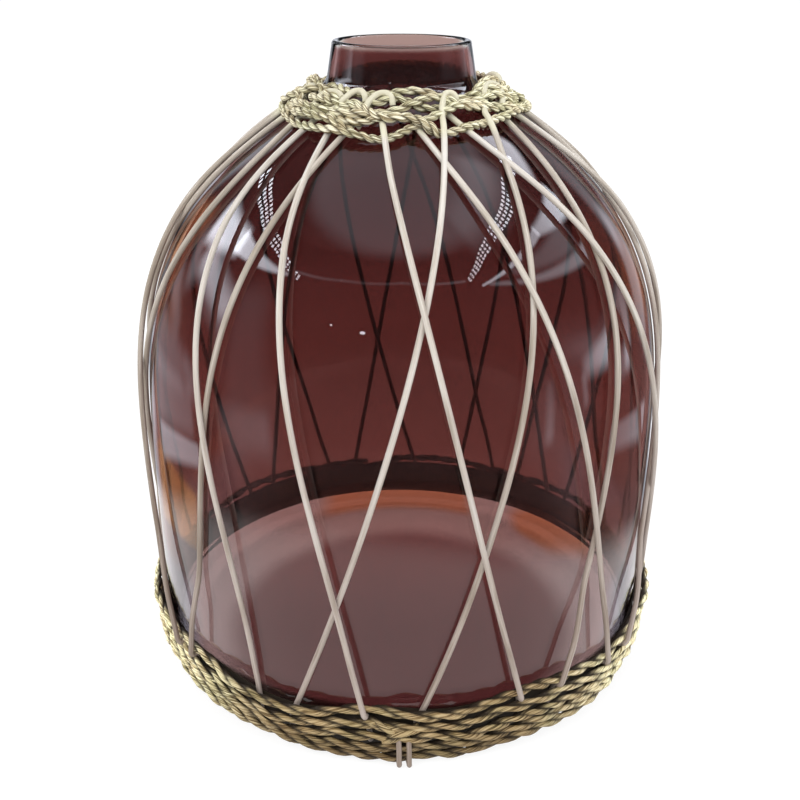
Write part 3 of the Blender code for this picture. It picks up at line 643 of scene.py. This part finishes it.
def reed_finish():
    """Pale peeled reed with long fibres and a dull skin, darker and pinker toward the foot as
    painted shade.
    """
    finish = Finish("pale_reed")
    fibre = finish.noise(finish.along_cane(1.6, 45.0), 1.0, 4.0, 0.62)
    places = finish.places()
    cloud = finish.noise(places, 28.0, 2.0, 0.5)
    tone = finish.attribute("tone")
    mask = (fibre * 0.65 + cloud * 0.30 + tone * 0.25).between(0.30, 0.78)
    colour = finish.ramp(mask, [(0.0, (0.40, 0.34, 0.27)), (0.45, (0.64, 0.585, 0.51)),
                                (1.0, (0.82, 0.79, 0.73))])
    height = finish.parts(places)[2]
    # Painted shade: the reed is darker and pinker toward the foot.
    low = finish.mix(height.between(0.015, 0.23), (0.62, 0.555, 0.55), (0.93, 0.92, 0.93))
    colour = finish.vector("MULTIPLY", colour, low)
    looped = finish.mix(fibre, (0.56, 0.52, 0.38), (0.82, 0.79, 0.63))
    colour = finish.mix(height.between(0.2475, 0.2515), colour, looped)
    rough = 0.50 + fibre * 0.22
    normal = finish.bump(fibre, 0.4, 0.0003)
    reed = finish.principled({"Base Color": colour, "Roughness": rough, "Normal": normal})
    return finish.show(reed)


def rope_finish():
    """Twisted seagrass: straw and olive blades, with painted shade in the creases between the plies
    and on the sides turned from the light, painted shade on the band's front and lowest rows, and
    painted light on the band's sides and the collar's right side.
    """
    finish = Finish("seagrass_rope")
    places = finish.places()
    blades = finish.noise(finish.along_cane(2.0, 75.0, 330.0), 1.0, 3.0, 0.65)
    strips = finish.noise(finish.along_cane(3.8, 50.0, 330.0), 1.0, 2.0, 0.5)
    cloud = finish.noise(places, 60.0, 3.0, 0.55)
    mask = (blades * 0.65 + strips * 0.40).between(0.43, 0.62)
    straw = finish.ramp(mask, [(0.0, (0.16, 0.115, 0.055)), (0.30, (0.49, 0.40, 0.24)),
                               (0.62, (0.80, 0.72, 0.51)), (1.0, (0.97, 0.93, 0.76))])
    olive = finish.ramp(mask, [(0.0, (0.13, 0.11, 0.050)), (0.35, (0.45, 0.41, 0.24)),
                               (0.70, (0.76, 0.73, 0.51)), (1.0, (0.94, 0.93, 0.73))])
    colour = finish.mix(cloud.between(0.42, 0.62), straw, olive)
    across, _, height = finish.parts(places)
    # Painted shade and light: the band is darker at the front and on its lowest rows and lighter on
    # its sides, and the collar is lighter on its right side.
    front = finish.mix(height.between(0.004, 0.015), (0.30, 0.225, 0.14), (0.56, 0.44, 0.295))
    band = finish.mix(across.math("ABSOLUTE").between(0.045, 0.122), front, (1.50, 1.48, 1.30))
    collar = finish.mix(across.between(0.012, 0.055), (1.02, 1.02, 0.99), (1.25, 1.25, 1.20))
    upper = height.between(0.08, 0.20)
    colour = finish.vector("MULTIPLY", colour, finish.mix(upper, band, collar))
    # Painted shade: where the open value is low, in the creases and on the sides turned from the
    # light, the colour goes to this dark brown.
    crease = finish.mix(upper, (0.024, 0.015, 0.007), (0.10, 0.075, 0.040))
    colour = finish.mix(finish.attribute("open"), crease, colour)
    normal = finish.bump(mask, 0.35, 0.0005)
    rope = finish.principled({"Base Color": colour, "Roughness": 0.74, "Normal": normal})
    return finish.show(rope)


def finished_mesh(shape, name):
    """A mesh from a bmesh, whose faces are first turned outwards."""
    bmesh.ops.recalc_face_normals(shape, faces=shape.faces)
    mesh = bpy.data.meshes.new(name)
    shape.to_mesh(mesh)
    shape.free()
    return mesh


def link_object(name, data):
    """A new object in the scene."""
    thing = bpy.data.objects.new(name, data)
    bpy.context.scene.collection.objects.link(thing)
    return thing


def set_tone(mesh, value):
    """How pale a cane is, from about -0.5 to 0.5, for its finish to read."""
    tone = mesh.attributes.new("tone", "FLOAT", "POINT")
    tone.data.foreach_set("value", [value] * len(mesh.vertices))


def tube_mesh(routes, radius, resolution=2, swell=None, cores=None, hidden=-0.5):
    """Round tubes along smooth routes, as one closed mesh with a length-true UV map. A core
    is the (centre, outward) list of the rope that a route belongs to: the attribute "open"
    is then 0 in the crease between the plies and on the sides that face outward less than
    the value hidden, and 1 where the rope lies open to the light."""
    joined = bmesh.new()
    for number, route in enumerate(routes):
        curve = bpy.data.curves.new("route", "CURVE")
        curve.dimensions = "3D"
        curve.bevel_depth = radius
        curve.bevel_resolution = resolution
        curve.use_fill_caps = True
        spline = curve.splines.new("POLY")
        spline.points.add(len(route) - 1)
        for i, (point, place) in enumerate(zip(spline.points, route)):
            point.co = (*place, 1.0)
            point.radius = swell(i) if swell else 1.0
        holder = link_object("route", curve)
        view = bpy.context.evaluated_depsgraph_get()
        mesh = bpy.data.meshes.new_from_object(holder.evaluated_get(view))
        length = sum((b - a).length for a, b in zip(route, route[1:]))
        first_face, first_vertex = len(joined.faces), len(joined.verts)
        joined.from_mesh(mesh)
        joined.faces.ensure_lookup_table()
        joined.verts.ensure_lookup_table()
        layer = joined.loops.layers.uv.verify()
        for face in joined.faces[first_face:]:
            for loop in face.loops:
                loop[layer].uv.x *= length
        if cores:
            opening = joined.verts.layers.float.get("open") or joined.verts.layers.float.new("open")
            tree = kdtree.KDTree(len(route))
            for i, place in enumerate(route):
                tree.insert(place, i)
            tree.balance()
            rope_radius = (PLY_OFFSET + PLY_RADIUS) * radius / PLY_RADIUS
            # The open value steers the rope finish's painted shade: low in the creases and on the
            # sides turned from the light.
            for vertex in joined.verts[first_vertex:]:
                centre, outward = cores[number][tree.find(vertex.co)[1]]
                arm = vertex.co - centre
                reach = arm.length / rope_radius
                facing = arm.dot(outward) / rope_radius
                vertex[opening] = ease((reach - 0.50) / 0.36) * ease((facing - hidden) / 0.6)
        bpy.data.objects.remove(holder)
        bpy.data.curves.remove(curve)
        bpy.data.meshes.remove(mesh)
    bmesh.ops.remove_doubles(joined, verts=joined.verts, dist=0.000001)
    for face in joined.faces:
        face.smooth = len(face.verts) == 4
    return finished_mesh(joined, "tube")


def add_piece(name, mesh, material, slot, *nodes):
    """Put a finished mesh in the scene, on the vase's one body, in place of these nodes."""
    mesh.name = name
    mesh.materials.clear()
    mesh.materials.append(material)
    piece = link_object(name, mesh)
    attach(piece, "root")
    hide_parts(*nodes)


def glass_outline():
    """Half of the bottle's section, from the underside's middle round to the floor's."""
    heel_radius = body_radius(HEEL_ROUNDING)
    foot_outer = heel_radius - HEEL_ROUNDING
    foot_inner = foot_outer - FOOT_RING_WIDTH
    shares = [i / 16 for i in range(17)]
    outline = [(foot_inner * share, PUSH_UP * (1 - share ** PUSH_UP_POWER)) for share in shares]
    outline += arc((foot_outer, HEEL_ROUNDING), HEEL_ROUNDING, -90, 0, 10)
    last_run = place_at(2, HEEL_ROUNDING)[0]
    count = 72
    outline += [off_wall(last_run + (NECK_FILLET - last_run) * i / count, 0.0)
                for i in range(1, count + 1)]
    above = NECK_BASE_HEIGHT + NECK_FILLET * 0.6
    corner = (NECK_BASE_RADIUS, NECK_BASE_HEIGHT)
    outline += bend(off_wall(NECK_FILLET, 0.0), corner, (neck_radius(above), above), 8)[1:]
    lip = VASE_HEIGHT - LIP_ROUNDING
    outline += arc((RIM_RADIUS - LIP_ROUNDING, lip), LIP_ROUNDING, 0, 90, 6)
    outline += arc((RIM_RADIUS - WALL + LIP_ROUNDING, lip), LIP_ROUNDING, 90, 180, 6)
    inner_corner = (NECK_BASE_RADIUS - WALL, NECK_BASE_HEIGHT - WALL)
    start = off_wall(NECK_FILLET, -WALL)
    outline += bend((neck_radius(above) - WALL, above), inner_corner, start, 8)
    inner_wall = heel_radius - WALL
    heel = (inner_wall - INNER_HEEL_ROUNDING, FLOOR_THICKNESS + INNER_HEEL_ROUNDING)
    end_run = place_at(2, heel[1])[0]
    outline += [off_wall(NECK_FILLET + (end_run - NECK_FILLET) * i / count, -WALL)
                for i in range(1, count)]
    outline += arc(heel, INNER_HEEL_ROUNDING, 0, -90, 10)
    outline += [(heel[0] * share, FLOOR_THICKNESS + PUSH_UP * (1 - share ** PUSH_UP_POWER))
                for share in shares[-2::-1]]
    return outline


def build_bottle(material):
    """Spin the bottle's section into one smooth closed body of glass."""
    shape = bmesh.new()
    outline = glass_outline()
    points = [shape.verts.new((radius, 0.0, height)) for radius, height in outline]
    edges = [shape.edges.new(pair) for pair in zip(points, points[1:])]
    bmesh.ops.spin(shape, geom=points + edges, cent=(0, 0, 0), axis=(0, 0, 1),
                   angle=2 * math.pi, steps=160, use_merge=True)
    bmesh.ops.remove_doubles(shape, verts=shape.verts, dist=0.00002)
    for face in shape.faces:
        face.smooth = True
    mesh = finished_mesh(shape, "bottle")
    add_piece("bottle", mesh, material, "amethyst_glass", "glass_vase")


def foot_in_front(rows):
    """A reed's foot over the band's top row and behind the others."""
    first = (body_radius(rows[0]) + ROPE_ON_GLASS, rows[0])
    second = (body_radius(rows[1]) + ROPE_ON_REED, rows[1])
    slant = math.degrees(math.atan2(second[1] - first[1], second[0] - first[0]))
    swing = math.degrees(math.acos(min(2 * REED_ROUND_ROPE / math.dist(first, second), 1.0)))
    leaving = slant + swing
    entry = (body_radius(rows[0]) + FRONT_FOOT_OFFSET, rows[0] + BAND_ENTRY)
    facing = math.degrees(math.atan2(entry[1] - first[1], entry[0] - first[0]))
    opening = math.degrees(math.acos(REED_ROUND_ROPE / math.dist(entry, first)))
    points = arc(first, REED_ROUND_ROPE, facing - opening, leaving, 8)
    return points + arc(second, REED_ROUND_ROPE, leaving + 180, 180, 5)


def foot_behind(rows):
    """A reed's foot against the glass, behind every row."""
    return [(body_radius(height) + INNER_REED_OFFSET, height)
            for height in (rows[0] + ROW_STEP, rows[0], rows[1])]


def hooks_over_collar(knots, outside):
    """Whether a reed's upper end passes over the collar's top strand."""
    top = azimuth_along(knots, HOOKED_TOP_RUN) % 360
    return not outside and not HOOKLESS[0] < top < HOOKLESS[1]


def reed_route(name, knots, in_front, outside):
    """A reed's route from the collar down to its foot, tucked behind the band's second row;
    at the front it goes on down to the fourth."""
    span_offset = OUTER_REED_OFFSET if outside else INNER_REED_OFFSET
    over_run = OVER_LOWEST.get(name)
    first_run = TUCKED_TOP_RUN
    if name in LOOPS:
        first_run = LOOPED_TOP_RUN
    elif hooks_over_collar(knots, outside):
        first_run = HOOKED_TOP_RUN
    rows = band_heights(knots[3])
    last_run = place_at(2, rows[0] + BAND_ENTRY)[0]
    steps = 110
    route = []
    for i in range(steps + 1):
        run = first_run + (last_run - first_run) * i / steps
        lift = ease((run - COLLAR_EDGE) / COLLAR_RUN)
        offset = INNER_REED_OFFSET + (span_offset - INNER_REED_OFFSET) * lift
        azimuth = azimuth_along(knots, run)
        if over_run:
            aside = math.sin(math.radians(azimuth)) * off_wall(run, offset)[0]
            below = run * 1000 - over_run
            near = abs(below) / OVER_LOWEST_RISE[below > 0]
            offset += (OVER_ROPE_OFFSET - offset) * ease(1 - near)
            azimuth = math.degrees(math.asin(aside / off_wall(run, offset)[0]))
        if in_front:
            near = (run - last_run) / FRONT_FOOT_RUN + 1
            offset += (FRONT_FOOT_OFFSET - offset) * ease(near)
        elif outside:
            near = (run - last_run) / BEHIND_FOOT_RUN + 1
            offset += (BEHIND_FOOT_OFFSET - offset) * ease(near)
        route.append(at_azimuth(off_wall(run, offset), azimuth))
    foot = foot_in_front(rows) if in_front else foot_behind(rows)
    if abs((knots[3] + 180) % 360 - 180) < 50:
        foot.append((body_radius(rows[3]) + INNER_REED_OFFSET, rows[3]))
    for point in foot:
        run = place_at(2, max(point[1], FOOT_TURN_HEIGHT))[0]
        route.append(at_azimuth(point, azimuth_along(knots, run)))
    return route


def spread_points(points, steps):
    """Smoothly spaced places through listed ones, a number of steps for each."""
    listed = [(i, *point) for i, point in enumerate(points)]
    listed = [(-1, *points[0])] + listed + [(len(points), *points[-1])]
    return [through(listed, i / steps) for i in range(steps * (len(points) - 1) + 1)]


def loop_route(points):
    """A reed's upper end over the collar through listed places."""
    return [at_azimuth(off_wall(run / 1000, lift / 1000), azimuth)
            for azimuth, run, lift in spread_points(points, 6)]


def collar_hook(knots):
    """A reed's upper end, looped over the collar's top strand from the neck side."""
    azimuth = azimuth_along(knots, HOOKED_TOP_RUN)
    sweep = 7.0 if azimuth % 360 > 200 else -7.0
    start, swing, steps = -78, 250, 26
    points = []
    for i in range(steps + 1):
        share = i / steps
        side = azimuth + sweep * ease(1 - share)
        run, lift = cord_near(side)
        centre = off_wall(run, lift)
        under = off_wall(run, 0.0)
        slope = math.degrees(math.atan2(centre[1] - under[1], centre[0] - under[0]))
        bent = on_circle(centre, HOOK_RADIUS, slope + start + swing * share)
        points.append(at_azimuth(bent, side))
    return points


def build_reeds(material):
    """The cage, one cane for each reed of the model."""
    groups = (("right", RIGHT_REEDS, True), ("left", LEFT_REEDS, False))
    for side, reeds, outside in groups:
        for number, (*knots, in_front) in enumerate(reeds, 1):
            name = f"reed_{side}_{number:02d}"
            route = reed_route(name[5:], knots, in_front, outside)
            if name[5:] in LOOPS:
                route = loop_route(LOOPS[name[5:]]) + route
            elif hooks_over_collar(knots, outside):
                route = collar_hook(knots) + route[1:]
            seed = number + (20 if outside else 0)

            def swell(i, seed=seed):
                return 1.0 + 0.05 * wander(i * 0.13, seed)

            mesh = tube_mesh([route], REED_RADIUS, 3, swell)
            set_tone(mesh, random.Random(seed).uniform(-0.25, 0.45))
            add_piece(name + "_cane", mesh, material, "pale_reed", name)


def twist(centre_line, outward, seed, pitch, spread, size):
    """The routes of a rope's two plies, wound round its centre line, now tight and now loose."""
    routes = [[], []]
    length = turn = 0.0
    for i, point in enumerate(centre_line):
        neighbours = centre_line[max(i - 1, 0)], centre_line[min(i + 1, len(centre_line) - 1)]
        ahead = (neighbours[1] - neighbours[0]).normalized()
        out = (outward[i] - ahead * outward[i].dot(ahead)).normalized()
        up = out.cross(ahead) * -1
        if i:
            step = (point - centre_line[i - 1]).length
            length += step
            turn += 2 * math.pi * step / (pitch * (1 + 0.55 * wander(length * 38, seed)))
        for ply, route in enumerate(routes):
            angle = turn + math.pi * ply
            arm = PLY_OFFSET * size * (1 + spread * wander(length * 75, seed + 3 + ply))
            route.append(point + (out * math.cos(angle) + up * math.sin(angle)) * arm)
    return routes


def rope_mesh(strands, seed, pitch, spread, size, hidden):
    """Two-ply ropes of seagrass with lumpy plies, along (centre line, outward) strands.
    Where a rope faces outward less than the value hidden, its finish darkens it with painted shade."""
    def swell(i):
        return 1.0 + 0.18 * wander(i * 0.23, seed + 9) + 0.09 * wander(i * 0.9, seed + 5)

    routes, cores = [], []
    for number, (line, outward) in enumerate(strands):
        routes += twist(line, outward, seed + number, pitch, spread, size)
        cores += [list(zip(line, outward))] * 2
    return tube_mesh(routes, PLY_RADIUS * size, 2, swell, cores, hidden)


def band_feet():
    """The foot azimuths of all reeds, each with whether it passes before the top row."""
    return sorted((row[3] % 360, row[4]) for row in RIGHT_REEDS + LEFT_REEDS)


def top_row_offset(azimuth):
    """The top row's distance off the glass: close under a reed that passes in front."""
    feet = band_feet()
    feet = [(feet[-1][0] - 360, feet[-1][1])] + feet + [(feet[0][0] + 360, feet[0][1])]
    azimuth %= 360
    hold = 2.2
    for (low, low_front), (high, high_front) in zip(feet, feet[1:]):
        if low <= azimuth <= high:
            share = ease((azimuth - low - hold) / max(high - low - 2 * hold, 0.1))
            start = ROPE_ON_GLASS if low_front else ROPE_ON_REED
            end = ROPE_ON_GLASS if high_front else ROPE_ON_REED
            return start + (end - start) * share
    return ROPE_ON_REED


def band_sweep(step):
    """(azimuth, row) along the band: level rows that step down inside the climb."""
    start = BAND_CLIMB[1]
    end = start + 360 * len(BAND_LIFTS) - (BAND_CLIMB[1] - BAND_CLIMB[0])
    count = int((end - start) / step)
    sweep = []
    for i in range(count + 1):
        azimuth = start + (end - start) * i / count
        row = int((azimuth - BAND_CLIMB[0]) / 360)
        share = ease((azimuth - BAND_CLIMB[0] - 360 * row) / (BAND_CLIMB[1] - BAND_CLIMB[0]))
        sweep.append((azimuth, row - 1 + share if row else 0.0))
    return sweep


def blend_rows(values, row):
    """A value between two rows."""
    low = min(int(row), len(values) - 2)
    return values[low] + (values[low + 1] - values[low]) * (row - low)


def band_row_lines():
    """The centre line of the band's five rows in one length, and its outward side. The top
    row weaves round the reeds' feet, and away from the front the others lie on the glass."""
    line, outward = [], []
    for azimuth, row in band_sweep(0.5):
        below_top = min(row, 1.0)
        height = blend_rows(band_heights(azimuth), row)
        woven = top_row_offset(azimuth)
        off_front = ease((abs((azimuth + 180) % 360 - 180) - 36) / 24)
        offset = blend_rows(BAND_LIFTS, row) / 1000 + (woven - ROPE_ON_REED) * (1 - below_top)
        offset += (ROPE_ON_GLASS + 0.0004 - offset) * off_front * below_top
        height += 0.0009 * wander(azimuth / 9, 1 + int(row)) * min(row + 0.3, 1.0)
        offset += 0.0010 * wander(azimuth / 8, 5 + int(row))
        line.append(at_azimuth((body_radius(height) + offset, height), azimuth))
        outward.append(at_azimuth((1.0, 0.0), azimuth))
    return line, outward


def cut_end(points):
    """The centre line of a cut end of cord beside the lashing, and its outward side."""
    line, outward = [], []
    for azimuth, height, lift in spread_points(points, 7):
        height /= 1000
        line.append(at_azimuth((body_radius(height) + lift / 1000, height), azimuth))
        outward.append(at_azimuth((1.0, 0.0), azimuth))
    return line, outward


def shade_ring_mesh(count=240):
    """A thin closed dark ring on the glass, behind all the band's rows: painted shade that fills
    the gaps between the rows.
    """
    shade_ring = bmesh.new()
    rings = []
    for i in range(count):
        azimuth = 360 * i / count
        rows = band_heights(azimuth)
        heights = [rows[0] - 0.0005, rows[1], rows[2], rows[3], max(rows[4] - 0.0035, 0.0006)]
        inner = [(body_radius(height) + SHADE_RING_OFFSETS[0], height) for height in heights]
        outer = [(body_radius(height) + SHADE_RING_OFFSETS[1], height) for height in reversed(heights)]
        rings.append([shade_ring.verts.new(at_azimuth(point, azimuth)) for point in inner + outer])
    for ring, following in zip(rings, rings[1:] + rings[:1]):
        for j in range(len(ring)):
            k = (j + 1) % len(ring)
            shade_ring.faces.new((ring[j], ring[k], following[k], following[j]))
    return finished_mesh(shade_ring, "shade_ring")


def build_band(material):
    """The foot band: one rope in five rows, two cut ends at the front and a dark ring of painted
    shade behind the rows.
    """
    strands = [band_row_lines()] + [cut_end(points) for points in TAILS]
    mesh = rope_mesh(strands, 2, BAND_PITCH, BAND_SPREAD, BAND_SIZE, -0.15)
    add_piece("band_rope", mesh, material, "seagrass_rope", "base_winding")
    # Painted shade: the ring holds no open value, so the rope's finish gives it the dark crease
    # colour.
    add_piece("band_shade_ring", shade_ring_mesh(), material, "seagrass_rope", "base_winding")


def cord_near(azimuth):
    """Run and lift, in metres, of the collar's top strand at an azimuth."""
    azimuth = (azimuth + 90) % 360 - 90
    return [value / 1000 for value in through(COLLAR_CORD, azimuth)]


def collar_strand(places):
    """The centre line of cord through (azimuth, run, lift) places, and its outward side."""
    line, outward = [], []
    for azimuth, run, lift in places:
        line.append(at_azimuth(off_wall(run / 1000, lift / 1000), azimuth))
        base, tip = off_wall(run / 1000, 0.0), off_wall(run / 1000, 1.0)
        outward.append(at_azimuth((tip[0] - base[0], tip[1] - base[1]), azimuth))
    return line, outward


def build_collar(material):
    """The collar's cord, whose turns wander over the shoulder and lie closer to the glass on
    the left, and the shorter strands over it."""
    first, last = COLLAR_CORD[1][0], COLLAR_CORD[-2][0]
    count = 1700
    places = []
    for i in range(count + 1):
        azimuth = first + (last - first) * i / count
        run, lift = through(COLLAR_CORD, azimuth)
        leftward = -azimuth % 360
        left = ease((leftward - 42) / 26) * (1 - ease((leftward - 110) / 30))
        places.append((azimuth, run, lift - 0.5 - 1.8 * left))
    strands = [collar_strand(places)]
    strands += [collar_strand(spread_points(points, 9)) for points in OVERLAYS]
    mesh = rope_mesh(strands, 31, COLLAR_PITCH, COLLAR_SPREAD, COLLAR_SIZE, -0.60)
    add_piece("collar_rope", mesh, material, "seagrass_rope", "collar_winding")


def build_lashing(material):
    """Two turns of thin cane round the band's two lowest rows, at the front."""
    rows = band_heights(0.0)
    rope_radius, gap = 0.0023, 0.0002
    reach = rope_radius + gap + LASHING_DIAMETER / 2
    top = (body_radius(rows[3]) + BAND_LIFTS[3] / 1000, rows[3] + 0.001)
    low = (body_radius(rows[4]) + BAND_LIFTS[4] / 1000, rows[4])
    loop = arc(low, reach, 180, 350, 12) + arc(top, reach, 10, 180, 12)
    pitch, turns, side = 0.0042, 2, 0.0010
    route = []
    for i in range(turns * len(loop)):
        point = loop[i % len(loop)]
        across = side - pitch * turns / 2 + pitch * i / len(loop)
        across += 0.0009 * math.sin(i % len(loop) / len(loop) * 2 * math.pi)
        route.append(Vector((across, -point[0], max(point[1], LASHING_DIAMETER / 2))))
    mesh = tube_mesh([route], LASHING_DIAMETER / 2, 3)
    set_tone(mesh, -0.55)
    add_piece("lashing_cane", mesh, material, "pale_reed", "front_lashing")


def floor_finish():
    """A white table with a faint shadow; the glass mirrors only the part near the vase."""
    finish = Finish("white_table")
    diffuse = finish.node("ShaderNodeBsdfDiffuse", {}, [(0.9, 0.9, 0.9, 1.0)])
    nearby = finish.vector("ADD", finish.places(), (0.022, 0.06, 0.0))
    distance = finish.vector("LENGTH", nearby, out=1)
    away = distance.between(0.212, 0.268) * mirrored_ray(finish)
    glow = finish.node("ShaderNodeEmission", {}, {"Color": (1.0, 1.0, 1.0, 1.0), "Strength": 1.10})
    clear = finish.node("ShaderNodeBsdfTransparent", {}, [(1.0, 1.0, 1.0, 1.0)])
    return finish.show(finish.blend(away, finish.blend(0.80, diffuse, glow), clear))


def build_floor():
    """A wide round table top under the vase."""
    shape = bmesh.new()
    bmesh.ops.create_circle(shape, cap_ends=True, radius=12.0, segments=96)
    mesh = bpy.data.meshes.new("table")
    shape.to_mesh(mesh)
    shape.free()
    mesh.materials.append(floor_finish())
    link_object("table", mesh)


def mirrored_ray(finish):
    """1 for what a mirror reflection sees, and 0 for what is seen directly or through glass."""
    glossy = finish.node("ShaderNodeLightPath", {}, [], out=3)
    through_glass = finish.node("ShaderNodeLightPath", {}, [], out=6)
    return glossy * (1.0 - through_glass)


def stroke_parts(azimuth, height, ends, widths):
    """Where a direction lies on a stroke: its share of the way along and its degrees aside,
    with the stroke's half width there and its whole length in degrees."""
    left, low, right, high = ends
    reach = math.hypot(right - left, high - low)
    aim = ((right - left) / reach, (high - low) / reach)
    along = ((azimuth - left) * aim[0] + (height - low) * aim[1]) / reach
    aside = (azimuth - left) * aim[1] - (height - low) * aim[0]
    return along, aside, along * (widths[1] - widths[0]) + widths[0], reach


def mirrored_room(room, azimuth, height):
    """The brightness of the room that the glass mirrors, toward a direction."""
    glow = 0.02
    for *ends, wide, narrow, soft, start, end in ROOM_STROKES:
        along, aside, width, reach = stroke_parts(azimuth, height, ends, (wide, narrow))
        inside = 1.0 - (aside.math("ABSOLUTE") - width).between(-soft / 2, soft / 2)
        tips = along.between(-soft / reach, 0.0) * (1.0 - along.between(1.0, 1.0 + soft / reach))
        glow = inside * tips * (along * (end - start) + start) + glow
    for *ends, wide, narrow, rows, bright in LIGHT_STRIPS:
        along, aside, width, reach = stroke_parts(azimuth, height, ends, (wide, narrow))
        side = aside / width
        inside = (1.0 - side.math("ABSOLUTE").between(0.95, 1.05)) * along.between(-0.001, 0.001)
        inside = inside * (1.0 - along.between(0.999, 1.001))
        row = (along * rows).math("FRACT")
        column = (side * 1.5 + 1.5).math("FRACT")
        dot = row.between(0.15, 0.3) * (1.0 - row.between(0.7, 0.85))
        dot = dot * column.between(0.12, 0.27) * (1.0 - column.between(0.73, 0.88))
        glow = inside * dot * bright + glow
    return glow


def build_world():
    """A white studio: white behind the vase, and a patchy room in its reflections."""
    world = bpy.data.worlds.new("studio")
    bpy.context.scene.world = world
    world.use_nodes = True
    room = Finish("room", world)
    direction = room.node("ShaderNodeTexCoord", {}, [], out=0)
    sides = room.parts(direction)
    azimuth = sides[0].math("ARCTAN2", 0.0 - sides[1]) * (180 / math.pi)
    height = sides[2].math("ARCSINE") * (180 / math.pi)
    glow = mirrored_room(room, azimuth, height)
    tinted = room.node("ShaderNodeVectorMath", {"operation": "SCALE"},
                       {"Vector": (0.86, 0.90, 1.0), "Scale": glow})
    diffuse = room.node("ShaderNodeLightPath", {}, [], out=2)
    white = room.mix(diffuse, (1.0, 1.0, 1.0), (0.8, 0.8, 0.8))
    plain = room.node("ShaderNodeBackground", {}, [white, 1.0])
    patchy = room.node("ShaderNodeBackground", {}, [tinted, 1.0])
    room.show(room.blend(mirrored_ray(room), plain, patchy))


def add_lamp(name, place, target, size, power, colour=(1.0, 1.0, 1.0)):
    """A soft rectangular lamp that faces the target, and that glass neither mirrors nor shows."""
    lamp = bpy.data.lights.new(name, "AREA")
    lamp.shape = "RECTANGLE"
    lamp.size, lamp.size_y = size
    lamp.energy = power
    lamp.color = colour
    holder = link_object(name, lamp)
    holder.location = place
    holder.visible_glossy = False
    holder.visible_transmission = False
    aim = Vector(target) - Vector(place)
    holder.rotation_euler = aim.to_track_quat("-Z", "Y").to_euler()


def build_lamps():
    """Three soft lamps, which no reflection shows."""
    centre = (0.0, 0.0, 0.14)
    add_lamp("key", (-0.9, -1.1, 1.5), centre, (0.9, 0.9), 14.0, (1.0, 0.98, 0.95))
    add_lamp("fill", (1.2, -0.8, 1.1), centre, (0.8, 1.0), 8.0, (0.95, 0.97, 1.0))
    add_lamp("back", (0.2, 1.3, 1.3), centre, (1.2, 0.6), 7.0)


def build_camera():
    """The photograph's camera and the plain view transform."""
    camera = bpy.data.cameras.new("camera")
    camera.lens = CAMERA_LENS
    camera.sensor_width = CAMERA_SENSOR
    camera.clip_start = 0.01
    holder = link_object("camera", camera)
    holder.location = CAMERA_PLACE
    holder.rotation_euler = (math.radians(90 - CAMERA_PITCH), 0.0, 0.0)
    bpy.context.scene.camera = holder
    bpy.context.scene.view_settings.view_transform = "Standard"


def build_scene():
    """The vase in its cage, on a white table in a white studio."""
    build_camera()
    glass, reed, rope = glass_finish(), reed_finish(), rope_finish()
    build_bottle(glass)
    build_reeds(reed)
    build_band(rope)
    build_collar(rope)
    build_lashing(reed)
    build_floor()
    build_world()
    build_lamps()


build_scene()
